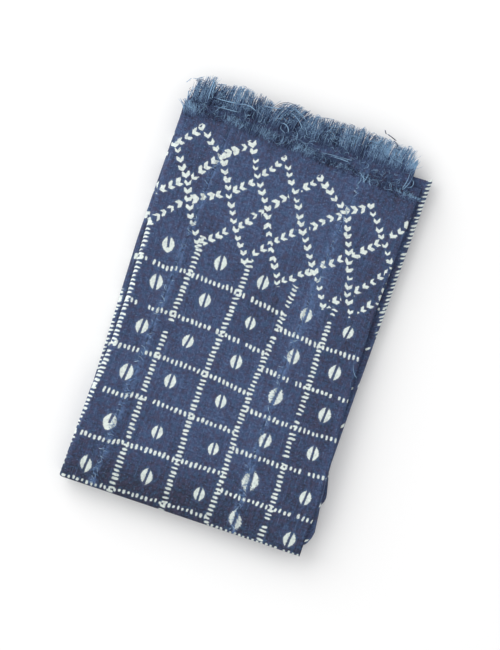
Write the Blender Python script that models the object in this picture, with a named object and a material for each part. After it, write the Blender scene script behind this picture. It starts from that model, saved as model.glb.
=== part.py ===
"""An indigo cloth of eight narrow woven strips sewn edge to edge, folded into a flat packet.

The cloth is doubled along its length and doubled again, which makes a bundle of four layers:
both frayed ends and one clean fold lie at the packet's top, and two nested bends at its bottom.
The bundle is then folded across in a concertina of four leaves. Each strip is one solid,
folded as the whole cloth is. Its two frayed ends are combs of yarn, parted from the weave.

Lengths are in millimetres until a mesh is written. "across" runs left to right over the packet
and "up" runs from its bottom bends to its frayed top, both from its lower left corner.
"along" follows the bundle through the concertina: 0 to 1 is the top leaf, 1 to 2 the first
bend, 2 to 3 the second leaf, and so on to 7, the lowest leaf's outer edge.
"depth" is the distance from the bundle's middle surface, towards the top leaf's face.
"""
import math
import random
from collections import namedtuple

import bmesh
import bpy
from mathutils import Vector

MILLIMETRE = 0.001

# The cloth and its pile
THICKNESS = 1.05
LAYER_GAP = 0.35
LAYER_PITCH = THICKNESS + LAYER_GAP
LAYERS = 4
LEAVES = 4
LEAF_PITCH = LAYERS * LAYER_PITCH
BEND_RADIUS = LEAF_PITCH / 2
OUTER_DEPTH = 1.5 * LAYER_PITCH
INNER_DEPTH = 0.5 * LAYER_PITCH
BEND_REACH = BEND_RADIUS + OUTER_DEPTH + THICKNESS / 2
LOWEST_LEAF_HEIGHT = OUTER_DEPTH + THICKNESS / 2
PATH_END = 2 * LEAVES - 1
SEAM_GAP = 0.3
PACKET_WIDTH = 250
PACKET_HEIGHT = 400
NEAR_TOP = 385
MIDDLE_ACROSS = PACKET_WIDTH / 2
MIDDLE_UP = PACKET_HEIGHT / 2

# How finely the solids are cut
LEAF_STEP = 52
BEND_STEPS = 5
TURN_STEPS = 4
LEVELS = (21, 50, 57, 95, 170, 250, 330)

# How much the pile is thicker at its folds than in its pressed middle
SIDE_SWELL = 0.07
END_SWELL = 0.05
WAVE_SWELL = 0.018

# The yarns at the frayed ends
BACKING = 2.6
ROOT_WIDTH = 2.6
BEND_LEAN = -4.0
YARN_DROOP = 4.5

EdgePoint = namedtuple("EdgePoint", "up across")
# Where the leaves turn or end, from the top leaf's selvedge to the lowest leaf's
TOP_SELVEDGE = (
    EdgePoint(0, 250), EdgePoint(21, 250), EdgePoint(50, 252), EdgePoint(95, 250),
    EdgePoint(170, 246), EdgePoint(250, 244), EdgePoint(330, 247), EdgePoint(400, 249),
)
FIRST_FOLD = (
    EdgePoint(0, -2), EdgePoint(95, 0), EdgePoint(140, 4.5), EdgePoint(190, 4.5),
    EdgePoint(250, 2), EdgePoint(310, -1), EdgePoint(400, -2),
)
SECOND_FOLD = (
    EdgePoint(0, 250), EdgePoint(12, 251), EdgePoint(21, 258), EdgePoint(57, 254),
    EdgePoint(95, 251), EdgePoint(170, 252), EdgePoint(250, 254), EdgePoint(400, 257),
)
THIRD_FOLD = (
    EdgePoint(0, -2), EdgePoint(95, 0), EdgePoint(170, -2), EdgePoint(250, -4),
    EdgePoint(330, -3), EdgePoint(400, -2),
)
LOWEST_SELVEDGE = (
    EdgePoint(0, 249), EdgePoint(50, 250), EdgePoint(57, 259), EdgePoint(75, 255),
    EdgePoint(95, 250), EdgePoint(400, 250),
)
LEAF_ENDS = (TOP_SELVEDGE, FIRST_FOLD, SECOND_FOLD, THIRD_FOLD, LOWEST_SELVEDGE)

PathPoint = namedtuple("PathPoint", "along bottom top")
# Each leaf lies slightly turned on the next, so the bundle climbs and drops along its path
BUNDLE_PATH = (
    PathPoint(0, 0, 384), PathPoint(1.5, 0, 385), PathPoint(3.5, 12, 397),
    PathPoint(5.5, 3, 388), PathPoint(7, 6, 391),
)

Seam = namedtuple("Seam", "leaf bottom top")
# Where each seam crosses its leaf, at the packet's bottom and top
SEAMS = (
    Seam(0, 178, 189), Seam(0, 31, 51), Seam(1, 105, 88), Seam(1, 236, 220),
    Seam(2, 122, 138), Seam(3, 25, 14), Seam(3, 167, 154),
)

Strip = namedtuple("Strip", "name first_start first_stop second_start second_stop yarn_pitch")
# How far up the two woven ends of each strip reach, where the strip starts and stops
STRIPS = (
    Strip("strip_1", 372, 377, 400, 401, 6.5),
    Strip("strip_2", 378, 386, 401, 402, 6.5),
    Strip("strip_3", 387, 374, 403, 376, 9),
    Strip("strip_4", 373, 370, 375, 371, 19),
    Strip("strip_5", 371, 373, 372, 374, 19),
    Strip("strip_6", 374, 371, 373, 370, 19),
    Strip("strip_7", 372, 374, 374, 372, 19),
    Strip("strip_8", 373, 372, 371, 373, 19),
)
HIDDEN_SELVEDGE_INSET = 12

Turn = namedtuple("Turn", "radius depth upward outward")
# The section's bends, and whether the side that starts as the packet's face is their outer one
OUTER_BEND = Turn(OUTER_DEPTH, 0, -1, 1)
TOP_BEND = Turn(INNER_DEPTH, -LAYER_PITCH, 1, 1)
INNER_BEND = Turn(INNER_DEPTH, 0, -1, -1)
# A layer's depth, and which way the side lies that starts as the packet's face
Layer = namedtuple("Layer", "depth facing")
LAYER_ONE = Layer(OUTER_DEPTH, 1)
LAYER_TWO = Layer(INNER_DEPTH, -1)
LAYER_THREE = Layer(-INNER_DEPTH, 1)
LAYER_FOUR = Layer(-OUTER_DEPTH, -1)

SectionPoint = namedtuple("SectionPoint", "part level")
FRAYED_END = "frayed end"
BEND_START = "bend start"


def between(points, at, read_at, read_value):
    """The value at a place between the points of a table."""
    last = points[0]
    for point in points[1:]:
        if at <= read_at(point):
            share = (at - read_at(last)) / (read_at(point) - read_at(last))
            return read_value(last) + max(share, 0.0) * (read_value(point) - read_value(last))
        last = point
    return read_value(last)


def edge_across(edge, up):
    return between(edge, up, lambda point: point.up, lambda point: point.across)


def bundle_bottom(along):
    return between(BUNDLE_PATH, along, lambda point: point.along, lambda point: point.bottom)


def bundle_top(along):
    return between(BUNDLE_PATH, along, lambda point: point.along, lambda point: point.top)


def leaf_span(leaf, up):
    """Where a leaf's flat part starts and stops across the packet."""
    rightward = 1 if leaf % 2 else -1
    start = edge_across(LEAF_ENDS[leaf], up)
    stop = edge_across(LEAF_ENDS[leaf + 1], up)
    if leaf > 0:
        start += rightward * BEND_REACH
    if leaf < LEAVES - 1:
        stop -= rightward * BEND_REACH
    return start, stop


def swell(across, up):
    """How much thicker than pressed flat the pile is at a place."""
    side = (across - MIDDLE_ACROSS) / MIDDLE_ACROSS
    end = (up - MIDDLE_UP) / MIDDLE_UP
    wave = math.sin(across / 38 + up / 62) + math.cos(up / 47 - across / 90)
    return 1 + SIDE_SWELL * side * side + END_SWELL * end * end + WAVE_SWELL * wave


def folded(along, up, depth):
    """Where a point of the bundle lies in the folded packet."""
    leaf = min(int(along) // 2, LEAVES - 1)
    facing = -1 if leaf % 2 else 1
    height = LOWEST_LEAF_HEIGHT + (LEAVES - 1 - leaf) * LEAF_PITCH
    start, stop = leaf_span(leaf, up)
    share = along - 2 * leaf
    if share <= 1:
        across = start + (stop - start) * share
        height += facing * depth
    else:
        angle = (share - 1) * math.pi
        radius = BEND_RADIUS + facing * depth
        across = stop - facing * radius * math.sin(angle)
        height += radius * math.cos(angle) - BEND_RADIUS
    return Vector((across, up, height * swell(across, up)))


def in_packet_frame(place):
    """Metres from the middle of the face that the packet rests on."""
    return Vector((place.x - MIDDLE_ACROSS, place.y - MIDDLE_UP, place.z)) * MILLIMETRE


def seam_along(seam, up, shift):
    """A seam's place on the bundle's path, moved a little along it."""
    start, stop = leaf_span(seam.leaf, up)
    across = seam.bottom + (seam.top - seam.bottom) * up / PACKET_HEIGHT
    length = abs(stop - start)
    return 2 * seam.leaf + ((across - start) / (stop - start)) + shift / length


def strip_start(index):
    """A function of up and layer that gives where a strip starts along the path."""
    if index > 0:
        return lambda up, layer: seam_along(SEAMS[index - 1], up, SEAM_GAP / 2)

    def selvedge(up, layer):
        inset = HIDDEN_SELVEDGE_INSET if layer is LAYER_TWO else 0
        start, stop = leaf_span(0, up)
        return inset * up / PACKET_HEIGHT / abs(stop - start)

    return selvedge


def strip_stop(index):
    if index < len(SEAMS):
        return lambda up, layer: seam_along(SEAMS[index], up, -SEAM_GAP / 2)
    return lambda up, layer: PATH_END


def fixed(along):
    return lambda up, layer: along


def strip_stations(index):
    """Cuts through a strip, each between two limits and at a share of the way."""
    start = strip_start(index)
    stop = strip_stop(index)
    first = start(MIDDLE_UP, LAYER_ONE)
    last = stop(MIDDLE_UP, LAYER_ONE)
    knots = [knot for knot in range(1, PATH_END) if first < knot < last]
    limits = [start] + [fixed(knot) for knot in knots] + [stop]
    places = [first] + knots + [last]
    stations = []
    for number, (low, high) in enumerate(zip(places, places[1:])):
        in_bend = int(low) % 2 == 1
        length = (high - low) * PACKET_WIDTH
        steps = BEND_STEPS if in_bend else max(1, round(length / LEAF_STEP))
        for step in range(steps):
            stations.append((limits[number], limits[number + 1], step / steps))
    stations.append((stop, stop, 0))
    return stations


def section_points():
    """The bundle's section from one frayed end to the other, as the cloth runs."""
    down = [FRAYED_END] + list(reversed(LEVELS)) + [BEND_START]
    rise = [BEND_START] + list(LEVELS) + [FRAYED_END]
    angles = [math.pi * step / TURN_STEPS for step in range(1, TURN_STEPS)]
    points = [SectionPoint(LAYER_ONE, level) for level in down]
    points += [SectionPoint(OUTER_BEND, angle) for angle in angles]
    points += [SectionPoint(LAYER_FOUR, level) for level in rise]
    points += [SectionPoint(TOP_BEND, angle) for angle in angles]
    points += [SectionPoint(LAYER_THREE, level) for level in down]
    points += [SectionPoint(INNER_BEND, angle) for angle in angles]
    points += [SectionPoint(LAYER_TWO, level) for level in rise]
    return points


def frayed_corners(index, layer):
    """Where the woven end of a strip starts and stops: along, up, along, up."""
    strip = STRIPS[index]
    up_start, up_stop = strip.second_start, strip.second_stop
    if layer is LAYER_ONE:
        up_start, up_stop = strip.first_start, strip.first_stop
    first = strip_start(index)(up_start + BACKING, layer)
    last = strip_stop(index)(up_stop + BACKING, layer)
    return first, up_start, last, up_stop


def frayed_reach(index, layer, along):
    """How far up a strip's woven end reaches, at a place on the bundle's path."""
    first, up_start, last, up_stop = frayed_corners(index, layer)
    return up_start + (up_stop - up_start) * (along - first) / (last - first)


def section_place(point, side, index, along):
    """Up and depth of one side of the cloth at a point of the section."""
    part = point.part
    bottom = bundle_bottom(along) + OUTER_DEPTH + THICKNESS / 2
    top = bundle_top(along) - INNER_DEPTH - THICKNESS / 2
    if isinstance(part, Turn):
        radius = part.radius + side * part.outward * THICKNESS / 2
        start = 1 if part is OUTER_BEND else -1
        centre = top if part is TOP_BEND else bottom
        up = centre + part.upward * radius * math.sin(point.level)
        return up, part.depth + start * radius * math.cos(point.level)
    depth = part.depth + side * part.facing * THICKNESS / 2
    if point.level == BEND_START:
        return bottom, depth
    if point.level != FRAYED_END:
        return point.level, depth
    if part in (LAYER_THREE, LAYER_FOUR):
        return top, depth
    return frayed_reach(index, part, along), depth


def station_along(station, up, layer):
    low, high, share = station
    start = low(up, layer)
    return start + (high(up, layer) - start) * share


def next_cap(mesh, cap, tag, number):
    """Extrudes a cap of faces to the next cut, whose points are tagged with its number."""
    region = list(cap)
    for face in cap:
        region += [item for item in list(face.edges) + list(face.verts) if item not in region]
    grown = bmesh.ops.extrude_face_region(mesh, geom=region)["geom"]
    for item in grown:
        if isinstance(item, bmesh.types.BMVert):
            item[tag] = number
    return [item for item in grown if isinstance(item, bmesh.types.BMFace)]


def strip_solid(index):
    """One woven strip: its section, extruded from cut to cut and folded."""
    strip = STRIPS[index]
    points = section_points()
    stations = strip_stations(index)
    mesh = bmesh.new()
    point_tag = mesh.verts.layers.int.new("point")
    side_tag = mesh.verts.layers.int.new("side")
    station_tag = mesh.verts.layers.int.new("station")
    pairs = []
    for number in range(len(points)):
        pair = [mesh.verts.new((side, number, 0)) for side in (1, -1)]
        for vert, side in zip(pair, (1, -1)):
            vert[point_tag] = number
            vert[side_tag] = side
        pairs.append(pair)
    faces = [mesh.faces.new((a[0], a[1], b[1], b[0])) for a, b in zip(pairs, pairs[1:])]
    for number in range(1, len(stations)):
        faces = next_cap(mesh, faces, station_tag, number)
    for vert in mesh.verts:
        point = points[vert[point_tag]]
        station = stations[vert[station_tag]]
        layer = point.part
        nominal = station_along(station, NEAR_TOP, layer)
        up, depth = section_place(point, vert[side_tag], index, nominal)
        vert.co = in_packet_frame(folded(station_along(station, up, layer), up, depth))
    return finished(mesh, strip.name, "indigo_weave")


def path_lengths(up, depth):
    """How far along the bundle each bend's start and end lie, at one depth."""
    lengths = [0.0]
    for leaf in range(LEAVES):
        start, stop = leaf_span(leaf, up)
        lengths.append(lengths[-1] + abs(stop - start))
        facing = -1 if leaf % 2 else 1
        lengths.append(lengths[-1] + math.pi * (BEND_RADIUS + facing * depth))
    return lengths[:-1]


def length_at(lengths, along):
    knot = min(int(along), PATH_END - 1)
    return lengths[knot] + (along - knot) * (lengths[knot + 1] - lengths[knot])


def along_at(lengths, length):
    knot = max(number for number in range(PATH_END) if lengths[number] <= length)
    return knot + (length - lengths[knot]) / (lengths[knot + 1] - lengths[knot])


def comb_cuts(first, last, lengths, pitch):
    """Cuts along a comb's backing, and which of them start a yarn's root."""
    start = length_at(lengths, first)
    stop = length_at(lengths, last)
    count = max(2, round((stop - start) / pitch))
    roots = []
    for number in range(count):
        centre = start + (number + 0.5) / count * (stop - start)
        roots.append((centre - ROOT_WIDTH / 2, centre + ROOT_WIDTH / 2))
    bends = []
    for knot in range(1, PATH_END, 2):
        for step in range(BEND_STEPS + 1):
            bends.append(length_at(lengths, knot + step / BEND_STEPS))
    cuts = [start, stop]
    for place in bends:
        clear = all(low - 0.4 > place or place > high + 0.4 for low, high in roots)
        if start + 0.4 < place < stop - 0.4 and clear:
            cuts.append(place)
    for low, high in roots:
        cuts += [low, high]
    cuts.sort()
    return cuts, {low for low, high in roots}


def comb_solid(index, layer, suffix):
    """The frayed yarns of one strip's end, fused to a narrow backing."""
    strip = STRIPS[index]
    chance = random.Random(100 * index + len(suffix))
    first, up_start, last, up_stop = frayed_corners(index, layer)
    lengths = path_lengths(up_start, layer.depth)
    cuts, roots = comb_cuts(first, last, lengths, strip.yarn_pitch)
    mesh = bmesh.new()
    cut_tag = mesh.verts.layers.int.new("cut")
    corner_tag = mesh.verts.layers.int.new("corner")
    corners = [(0, -1), (0, 1), (1, 1), (1, -1)]
    verts = [mesh.verts.new((far, side, 0)) for far, side in corners]
    for number, vert in enumerate(verts):
        vert[corner_tag] = number
    cap = [mesh.faces.new(verts)]
    for number in range(1, len(cuts)):
        cap = next_cap(mesh, cap, cut_tag, number)
    for vert in mesh.verts:
        far, side = corners[vert[corner_tag]]
        along = along_at(lengths, cuts[vert[cut_tag]])
        up = frayed_reach(index, layer, along) + SEAM_GAP + far * BACKING
        depth = layer.depth + side * THICKNESS / 2
        vert.co = folded(along, up, depth)
    root_faces = []
    for face in mesh.faces:
        numbers = {vert[cut_tag] for vert in face.verts}
        far_side = all(corners[vert[corner_tag]][0] == 1 for vert in face.verts)
        if far_side and len(numbers) == 2 and cuts[min(numbers)] in roots:
            root_faces.append((min(numbers), face))
    for number, face in sorted(root_faces, key=lambda pair: pair[0]):
        along = along_at(lengths, cuts[number])
        add_yarn(mesh, face, along, layer, chance)
    for vert in mesh.verts:
        vert.co = in_packet_frame(vert.co)
    return finished(mesh, strip.name + suffix, "frayed_yarn")


def yarn_reach(along, layer):
    """How far the frayed yarns reach over the edge, by leaf and layer."""
    if along > 1.9:
        return 14
    return 21 if layer is LAYER_TWO else 10


def add_yarn(mesh, face, along, layer, chance):
    """One tapered yarn, drawn out of the backing's edge in two lengths."""
    reach = yarn_reach(along, layer) * chance.uniform(0.8, 1.05)
    lean = chance.uniform(-1.6, 1.6)
    if 1 < along < 2 and layer is LAYER_ONE:
        lean = BEND_LEAN
    free = layer is LAYER_TWO and along < 1
    droop = YARN_DROOP if free else 0
    for share, width in ((0.55, 0.85), (1.0, 0.0)):
        centre = face.calc_center_median()
        grown = bmesh.ops.extrude_discrete_faces(mesh, faces=[face])["faces"]
        face = grown[0]
        move = Vector((lean * share, reach * 0.5, -droop * share * share))
        for vert in face.verts:
            vert.co = centre + move + (vert.co - centre) * max(width, 0.1)
        if width == 0.0:
            tip = centre + move
            bmesh.ops.pointmerge(mesh, verts=list(face.verts), merge_co=tip)


def finished(mesh, name, finish):
    """Turns the faces outward and puts the solid in the cloth's collection."""
    bmesh.ops.recalc_face_normals(mesh, faces=mesh.faces)
    data = bpy.data.meshes.new(name)
    mesh.to_mesh(data)
    mesh.free()
    data.materials.append(bpy.data.materials[finish])
    solid = bpy.data.objects.new(name, data)
    bpy.data.collections["indigo_cloth"].objects.link(solid)
    return solid


def plain_finish(name, colour, roughness):
    material = bpy.data.materials.new(name)
    material.use_nodes = True
    shader = material.node_tree.nodes["Principled BSDF"]
    shader.inputs["Base Color"].default_value = colour
    shader.inputs["Roughness"].default_value = roughness
    shader.inputs["Metallic"].default_value = 0.0
    return material


def main():
    for old in list(bpy.data.objects):
        bpy.data.objects.remove(old)
    collection = bpy.data.collections.new("indigo_cloth")
    bpy.context.scene.collection.children.link(collection)
    plain_finish("indigo_weave", (0.035, 0.05, 0.15, 1.0), 0.92)
    plain_finish("frayed_yarn", (0.07, 0.15, 0.29, 1.0), 0.95)
    for index in range(len(STRIPS)):
        strip_solid(index)
        comb_solid(index, LAYER_ONE, "_fringe_a")
        comb_solid(index, LAYER_TWO, "_fringe_b")


main()
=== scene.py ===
"""The looks of the folded indigo cloth: fine folded strips, resist-dyed marks, seams and frayed yarn.

Lengths are in millimetres until a mesh is written. "across" and "up" are measured over the
packet from its lower left corner. "along" follows the bundle through the concertina, 0 to 1
for the top leaf, 1 to 2 for its bend, and so on to 7. "depth" is the distance from the
bundle's middle surface.
"""
import math
from collections import namedtuple

import bpy
import numpy as np
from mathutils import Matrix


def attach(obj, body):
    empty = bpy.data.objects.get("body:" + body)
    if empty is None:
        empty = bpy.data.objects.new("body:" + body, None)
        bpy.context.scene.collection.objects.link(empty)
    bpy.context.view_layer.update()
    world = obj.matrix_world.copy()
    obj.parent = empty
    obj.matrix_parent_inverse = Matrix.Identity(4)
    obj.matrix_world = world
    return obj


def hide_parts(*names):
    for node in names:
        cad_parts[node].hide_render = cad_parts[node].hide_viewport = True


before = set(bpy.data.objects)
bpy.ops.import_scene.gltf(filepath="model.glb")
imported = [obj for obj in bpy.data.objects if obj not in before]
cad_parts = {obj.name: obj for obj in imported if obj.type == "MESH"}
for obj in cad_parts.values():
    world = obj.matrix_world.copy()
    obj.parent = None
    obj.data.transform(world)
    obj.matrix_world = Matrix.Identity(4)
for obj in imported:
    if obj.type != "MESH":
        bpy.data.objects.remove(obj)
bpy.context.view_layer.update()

MILLIMETRE = 0.001
FACE, BACK = 1, -1


def rows_of(kind, rows):
    """A table's rows with named columns."""
    return tuple(kind(*row) for row in rows)


# The folded packet, as its solids have it
THICKNESS = 1.05
LAYER_PITCH = 1.4
LEAVES = 4
LEAF_PITCH = 4 * LAYER_PITCH
BEND_RADIUS = LEAF_PITCH / 2
OUTER_DEPTH = 1.5 * LAYER_PITCH
INNER_DEPTH = 0.5 * LAYER_PITCH
BEND_REACH = BEND_RADIUS + OUTER_DEPTH + THICKNESS / 2
LOWEST_LEAF_HEIGHT = OUTER_DEPTH + THICKNESS / 2
PILE_HEIGHT = 4 * LEAF_PITCH - LAYER_PITCH + THICKNESS
PATH_END = 2 * LEAVES - 1
SEAM_GAP = 0.04
PACKET_WIDTH = 250
PACKET_HEIGHT = 400
MIDDLE_ACROSS = PACKET_WIDTH / 2
MIDDLE_UP = PACKET_HEIGHT / 2
NEAR_TOP = 385
# How much thicker the pile is at its sides, at its ends and in its waves
SIDE_SWELL = 0.07
END_SWELL = 0.05
WAVE_SWELL = 0.018
# How far a hidden selvedge slants, the combs' backing in the solids, and the cloth's length
HIDDEN_SELVEDGE_INSET = 12
BACKING = 2.6

EdgePoint = namedtuple("EdgePoint", "up across")
# Where the leaves turn or end, from the top leaf's selvedge to the lowest leaf's
TOP_SELVEDGE = rows_of(EdgePoint, (
    (0, 250), (21, 250), (50, 252), (95, 250),
    (170, 246), (250, 244), (330, 247), (400, 249),
))
FIRST_FOLD = rows_of(EdgePoint, (
    (0, -2), (95, 0), (140, 4.5), (190, 4.5),
    (250, 2), (310, -1), (400, -2),
))
SECOND_FOLD = rows_of(EdgePoint, (
    (0, 250), (12, 251), (21, 258), (57, 254),
    (95, 251), (170, 252), (250, 254), (400, 257),
))
THIRD_FOLD = rows_of(EdgePoint, (
    (0, -2), (95, 0), (170, -2), (250, -4),
    (330, -3), (400, -2),
))
LOWEST_SELVEDGE = rows_of(EdgePoint, (
    (0, 249), (50, 250), (57, 259), (75, 255),
    (95, 250), (400, 250),
))
LEAF_ENDS = (TOP_SELVEDGE, FIRST_FOLD, SECOND_FOLD, THIRD_FOLD, LOWEST_SELVEDGE)
# Heights that are averaged to round these tables' corners
CORNER_SPREAD = (-6, -3, 0, 3, 6)

PathPoint = namedtuple("PathPoint", "along bottom top")
# Each leaf lies slightly turned on the next
BUNDLE_PATH = rows_of(PathPoint, (
    (0, 0, 384), (1.5, 0, 385), (3.5, 12, 397),
    (5.5, 3, 388), (7, 6, 391),
))

Seam = namedtuple("Seam", "leaf bottom top")
# Where each seam crosses its leaf, at the packet's bottom and top
SEAMS = rows_of(Seam, (
    (0, 178, 189), (0, 31, 51), (1, 105, 88), (1, 236, 220),
    (2, 122, 138), (3, 25, 14), (3, 167, 154),
))

# How far the seam nearest the selvedge bows away from it on the top leaf, and up to where
SEAM_BOW = 6.5
SEAM_BOW_END = 366

Strip = namedtuple("Strip", "name first_start first_stop second_start second_stop rests_on")
# How far up each strip's two woven ends reach, where it starts and stops, and what it lies on
STRIPS = rows_of(Strip, (
    ("strip_1", 372, 377, 400, 401, ("strip_4", "strip_5")),
    ("strip_2", 378, 386, 401, 402, ("strip_3", "strip_4")),
    ("strip_3", 387, 374, 403, 376, ("strip_5", "strip_6")),
    ("strip_4", 373, 370, 375, 371, ("strip_5",)),
    ("strip_5", 371, 373, 372, 374, ("strip_7", "strip_8")),
    ("strip_6", 374, 371, 373, 370, ("strip_7",)),
    ("strip_7", 372, 374, 374, 372, ()),
    ("strip_8", 373, 372, 371, 373, ()),
))

# How finely the cloth is cut: the top leaf and its face are finer than what they hide
TOP_LEAF_STEP = 3.0
LOWER_LEAF_STEP = 7.0
BEND_STEPS = 12
FACE_LEVELS = 128
HIDDEN_LEVELS = 62
TURN_STEPS = 8

# The section's parts, in the order in which the cloth runs through them
LAYER_ONE, OUTER_BEND, LAYER_FOUR, TOP_BEND, LAYER_THREE, INNER_BEND, LAYER_TWO = range(7)
LAYER_DEPTHS = {LAYER_ONE: OUTER_DEPTH, LAYER_TWO: INNER_DEPTH,
                LAYER_THREE: -INNER_DEPTH, LAYER_FOUR: -OUTER_DEPTH}
FACINGS = {LAYER_ONE: 1, OUTER_BEND: 1, LAYER_FOUR: -1, TOP_BEND: 1,
           LAYER_THREE: 1, INNER_BEND: -1, LAYER_TWO: -1}

Crease = namedtuple("Crease", "across_start up_start across_stop up_stop height width")
# The two seams of the top leaf stand up as ridges
SEAM_RIDGES = (Crease(178, 0, 189, 375, 0.95, 4.5), Crease(31, 0, 51, 375, 0.85, 4.0))
# Soft ridges, and troughs with a height below zero, pressed into the top of the pile
CREASES = rows_of(Crease, (
    (64, 20, 70, 210, -0.45, 12),
    (120, 40, 128, 330, 0.5, 18),
    (215, 60, 210, 300, -0.5, 14),
    (0, 128, 90, 136, -0.45, 8),
    (90, 262, 250, 236, 0.45, 9),
    (20, 330, 150, 352, -0.4, 10),
    (226, 0, 236, 90, 0.6, 7),
    (140, 0, 150, 36, 0.5, 8),
    (12, 150, 8, 260, 0.8, 6),
))
# How far the pile's top stands over its pressed shape between creases, and at the least
RELIEF_FLOOR = 1.3
LEAST_RELIEF = 0.1
# Heights of the broad and the fine rumples between the creases
BROAD_RUMPLE = 0.3
FINE_RUMPLE = 0.09
# How far a crease strays aside of its line, and how soon it fades past its ends
CREASE_WANDER = 2.0
CREASE_FADE = 14
# The small puckers beside a seam
PUCKER_HEIGHT = 0.22
PUCKER_REACH = 9


def columns_of(table, *names):
    """Named columns of a table, as arrays."""
    return [np.array([getattr(row, name) for row in table], float) for name in names]


def edge_across(edge, up):
    """An edge's place, with the table's corners rounded."""
    ups, places = columns_of(edge, "up", "across")
    return sum(np.interp(up + shift, ups, places) for shift in CORNER_SPREAD) / len(CORNER_SPREAD)


def on_path(along, name):
    """Where the bundle's bottom or top lies at each place on its path."""
    alongs, values = columns_of(BUNDLE_PATH, "along", name)
    return np.interp(along, alongs, values)


def leaf_span(leaf, up):
    """Where a leaf's flat part starts and stops across the packet."""
    rightward = 1 if leaf % 2 else -1
    start = edge_across(LEAF_ENDS[leaf], up)
    stop = edge_across(LEAF_ENDS[leaf + 1], up)
    if leaf > 0:
        start = start + rightward * BEND_REACH
    if leaf < LEAVES - 1:
        stop = stop - rightward * BEND_REACH
    return start, stop


def crease_shape(across, up, crease):
    """One crease's height at each place, fading at both of its ends."""
    run = np.array((crease.across_stop - crease.across_start, crease.up_stop - crease.up_start))
    length = math.hypot(*run)
    unit = run / length
    aside_x = across - crease.across_start
    aside_y = up - crease.up_start
    forward = aside_x * unit[0] + aside_y * unit[1]
    sideways = aside_x * unit[1] - aside_y * unit[0]
    sideways = sideways + CREASE_WANDER * np.sin(forward / 31 + crease.up_start)
    beyond = np.maximum(0, np.maximum(-forward, forward - length)) / CREASE_FADE
    return crease.height * np.exp(-(sideways / crease.width) ** 2 - beyond ** 2)


def seam_bow(seam, up):
    """How far a seam bows aside of its straight line."""
    return (SEAM_BOW if seam == SEAMS[0] else 0) * np.sin(np.clip(up / SEAM_BOW_END, 0, 1) * math.pi)


def seam_across(seam, up):
    """A seam's place on its leaf."""
    return seam.bottom + (seam.top - seam.bottom) * up / PACKET_HEIGHT - seam_bow(seam, up)


def relief(across, up):
    """How far the top of the pile stands over its pressed shape."""
    raised = RELIEF_FLOOR + 0 * across
    for crease in CREASES:
        raised = raised + crease_shape(across, up, crease)
    for seam, ridge, phase in zip(SEAMS, SEAM_RIDGES, (0.0, 2.1)):
        raised = raised + crease_shape(across + seam_bow(seam, up), up, ridge)
        away = (across - seam_across(seam, up)) / PUCKER_REACH
        pucker = np.sin(up / 5.2 + phase + 1.4 * np.sin(up / 23)) * np.exp(-away ** 2)
        raised = raised + PUCKER_HEIGHT * pucker
    broad = np.sin(across / 27 + up / 55 + 1) * np.sin(up / 41 - across / 77)
    fine = np.sin(across / 9.5 + 2.3 * np.sin(up / 37)) * np.sin(up / 33 + across / 50)
    return np.maximum(raised + BROAD_RUMPLE * broad + FINE_RUMPLE * fine, LEAST_RELIEF)


def risen(across, up, height):
    """The height of a place in the pile once its folds are springy and its top is rumpled."""
    side = (across - MIDDLE_ACROSS) / MIDDLE_ACROSS
    end = (up - MIDDLE_UP) / MIDDLE_UP
    wave = np.sin(across / 38 + up / 62) + np.cos(up / 47 - across / 90)
    swell = 1 + SIDE_SWELL * side * side + END_SWELL * end * end + WAVE_SWELL * wave
    return height * swell + relief(across, up) * (height / PILE_HEIGHT) ** 3


def folded(along, up, depth):
    """Where points of the bundle lie in the folded packet, as an array of places."""
    across = np.zeros_like(along)
    height = np.zeros_like(along)
    for leaf in range(LEAVES):
        facing = -1 if leaf % 2 else 1
        start, stop = leaf_span(leaf, up)
        middle = LOWEST_LEAF_HEIGHT + (LEAVES - 1 - leaf) * LEAF_PITCH
        share = along - 2 * leaf
        flat = (share >= 0) & (share <= 1)
        bend = (share > 1) & (share < 2)
        across = np.where(flat, start + (stop - start) * share, across)
        height = np.where(flat, middle + facing * depth, height)
        angle = (share - 1) * math.pi
        radius = BEND_RADIUS + facing * depth
        across = np.where(bend, stop - facing * radius * np.sin(angle), across)
        height = np.where(bend, middle + radius * np.cos(angle) - BEND_RADIUS, height)
    return np.stack((across, up, risen(across, up, height)), -1)


def in_metres(places):
    """The packet's millimetres as metres from its middle."""
    return (places - np.array((MIDDLE_ACROSS, MIDDLE_UP, 0))) * MILLIMETRE


def seam_along(seam, up, shift):
    """A seam's place on the path at each height, moved aside by a shift in millimetres."""
    start, stop = leaf_span(seam.leaf, up)
    share = (seam_across(seam, up) - start) / (stop - start)
    return 2 * seam.leaf + share + shift / abs(stop - start)


def strip_start(index, up, part):
    """Where a strip starts on the path: at its seam or the selvedge."""
    if index > 0:
        return seam_along(SEAMS[index - 1], up, SEAM_GAP / 2)
    start, stop = leaf_span(0, up)
    inset = np.where(part == LAYER_TWO, HIDDEN_SELVEDGE_INSET, 0)
    return inset * up / PACKET_HEIGHT / abs(stop - start)


def strip_stop(index, up, part):
    """Where a strip stops on the path."""
    if index < len(SEAMS):
        return seam_along(SEAMS[index], up, -SEAM_GAP / 2)
    return PATH_END + 0 * up


def path_lengths():
    """The path's length in millimetres at each whole number of along."""
    steps = [0.0]
    for leaf in range(LEAVES):
        start, stop = leaf_span(leaf, np.array(float(MIDDLE_UP)))
        steps += [steps[-1] + abs(float(stop - start))]
        steps += [steps[-1] + math.pi * BEND_RADIUS]
    return np.array(steps[:-1])


PATH_LENGTHS = path_lengths()


def path_length(along):
    """How far along the bundle's path each place is, in millimetres."""
    return np.interp(along, np.arange(PATH_END + 1), PATH_LENGTHS)


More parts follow.
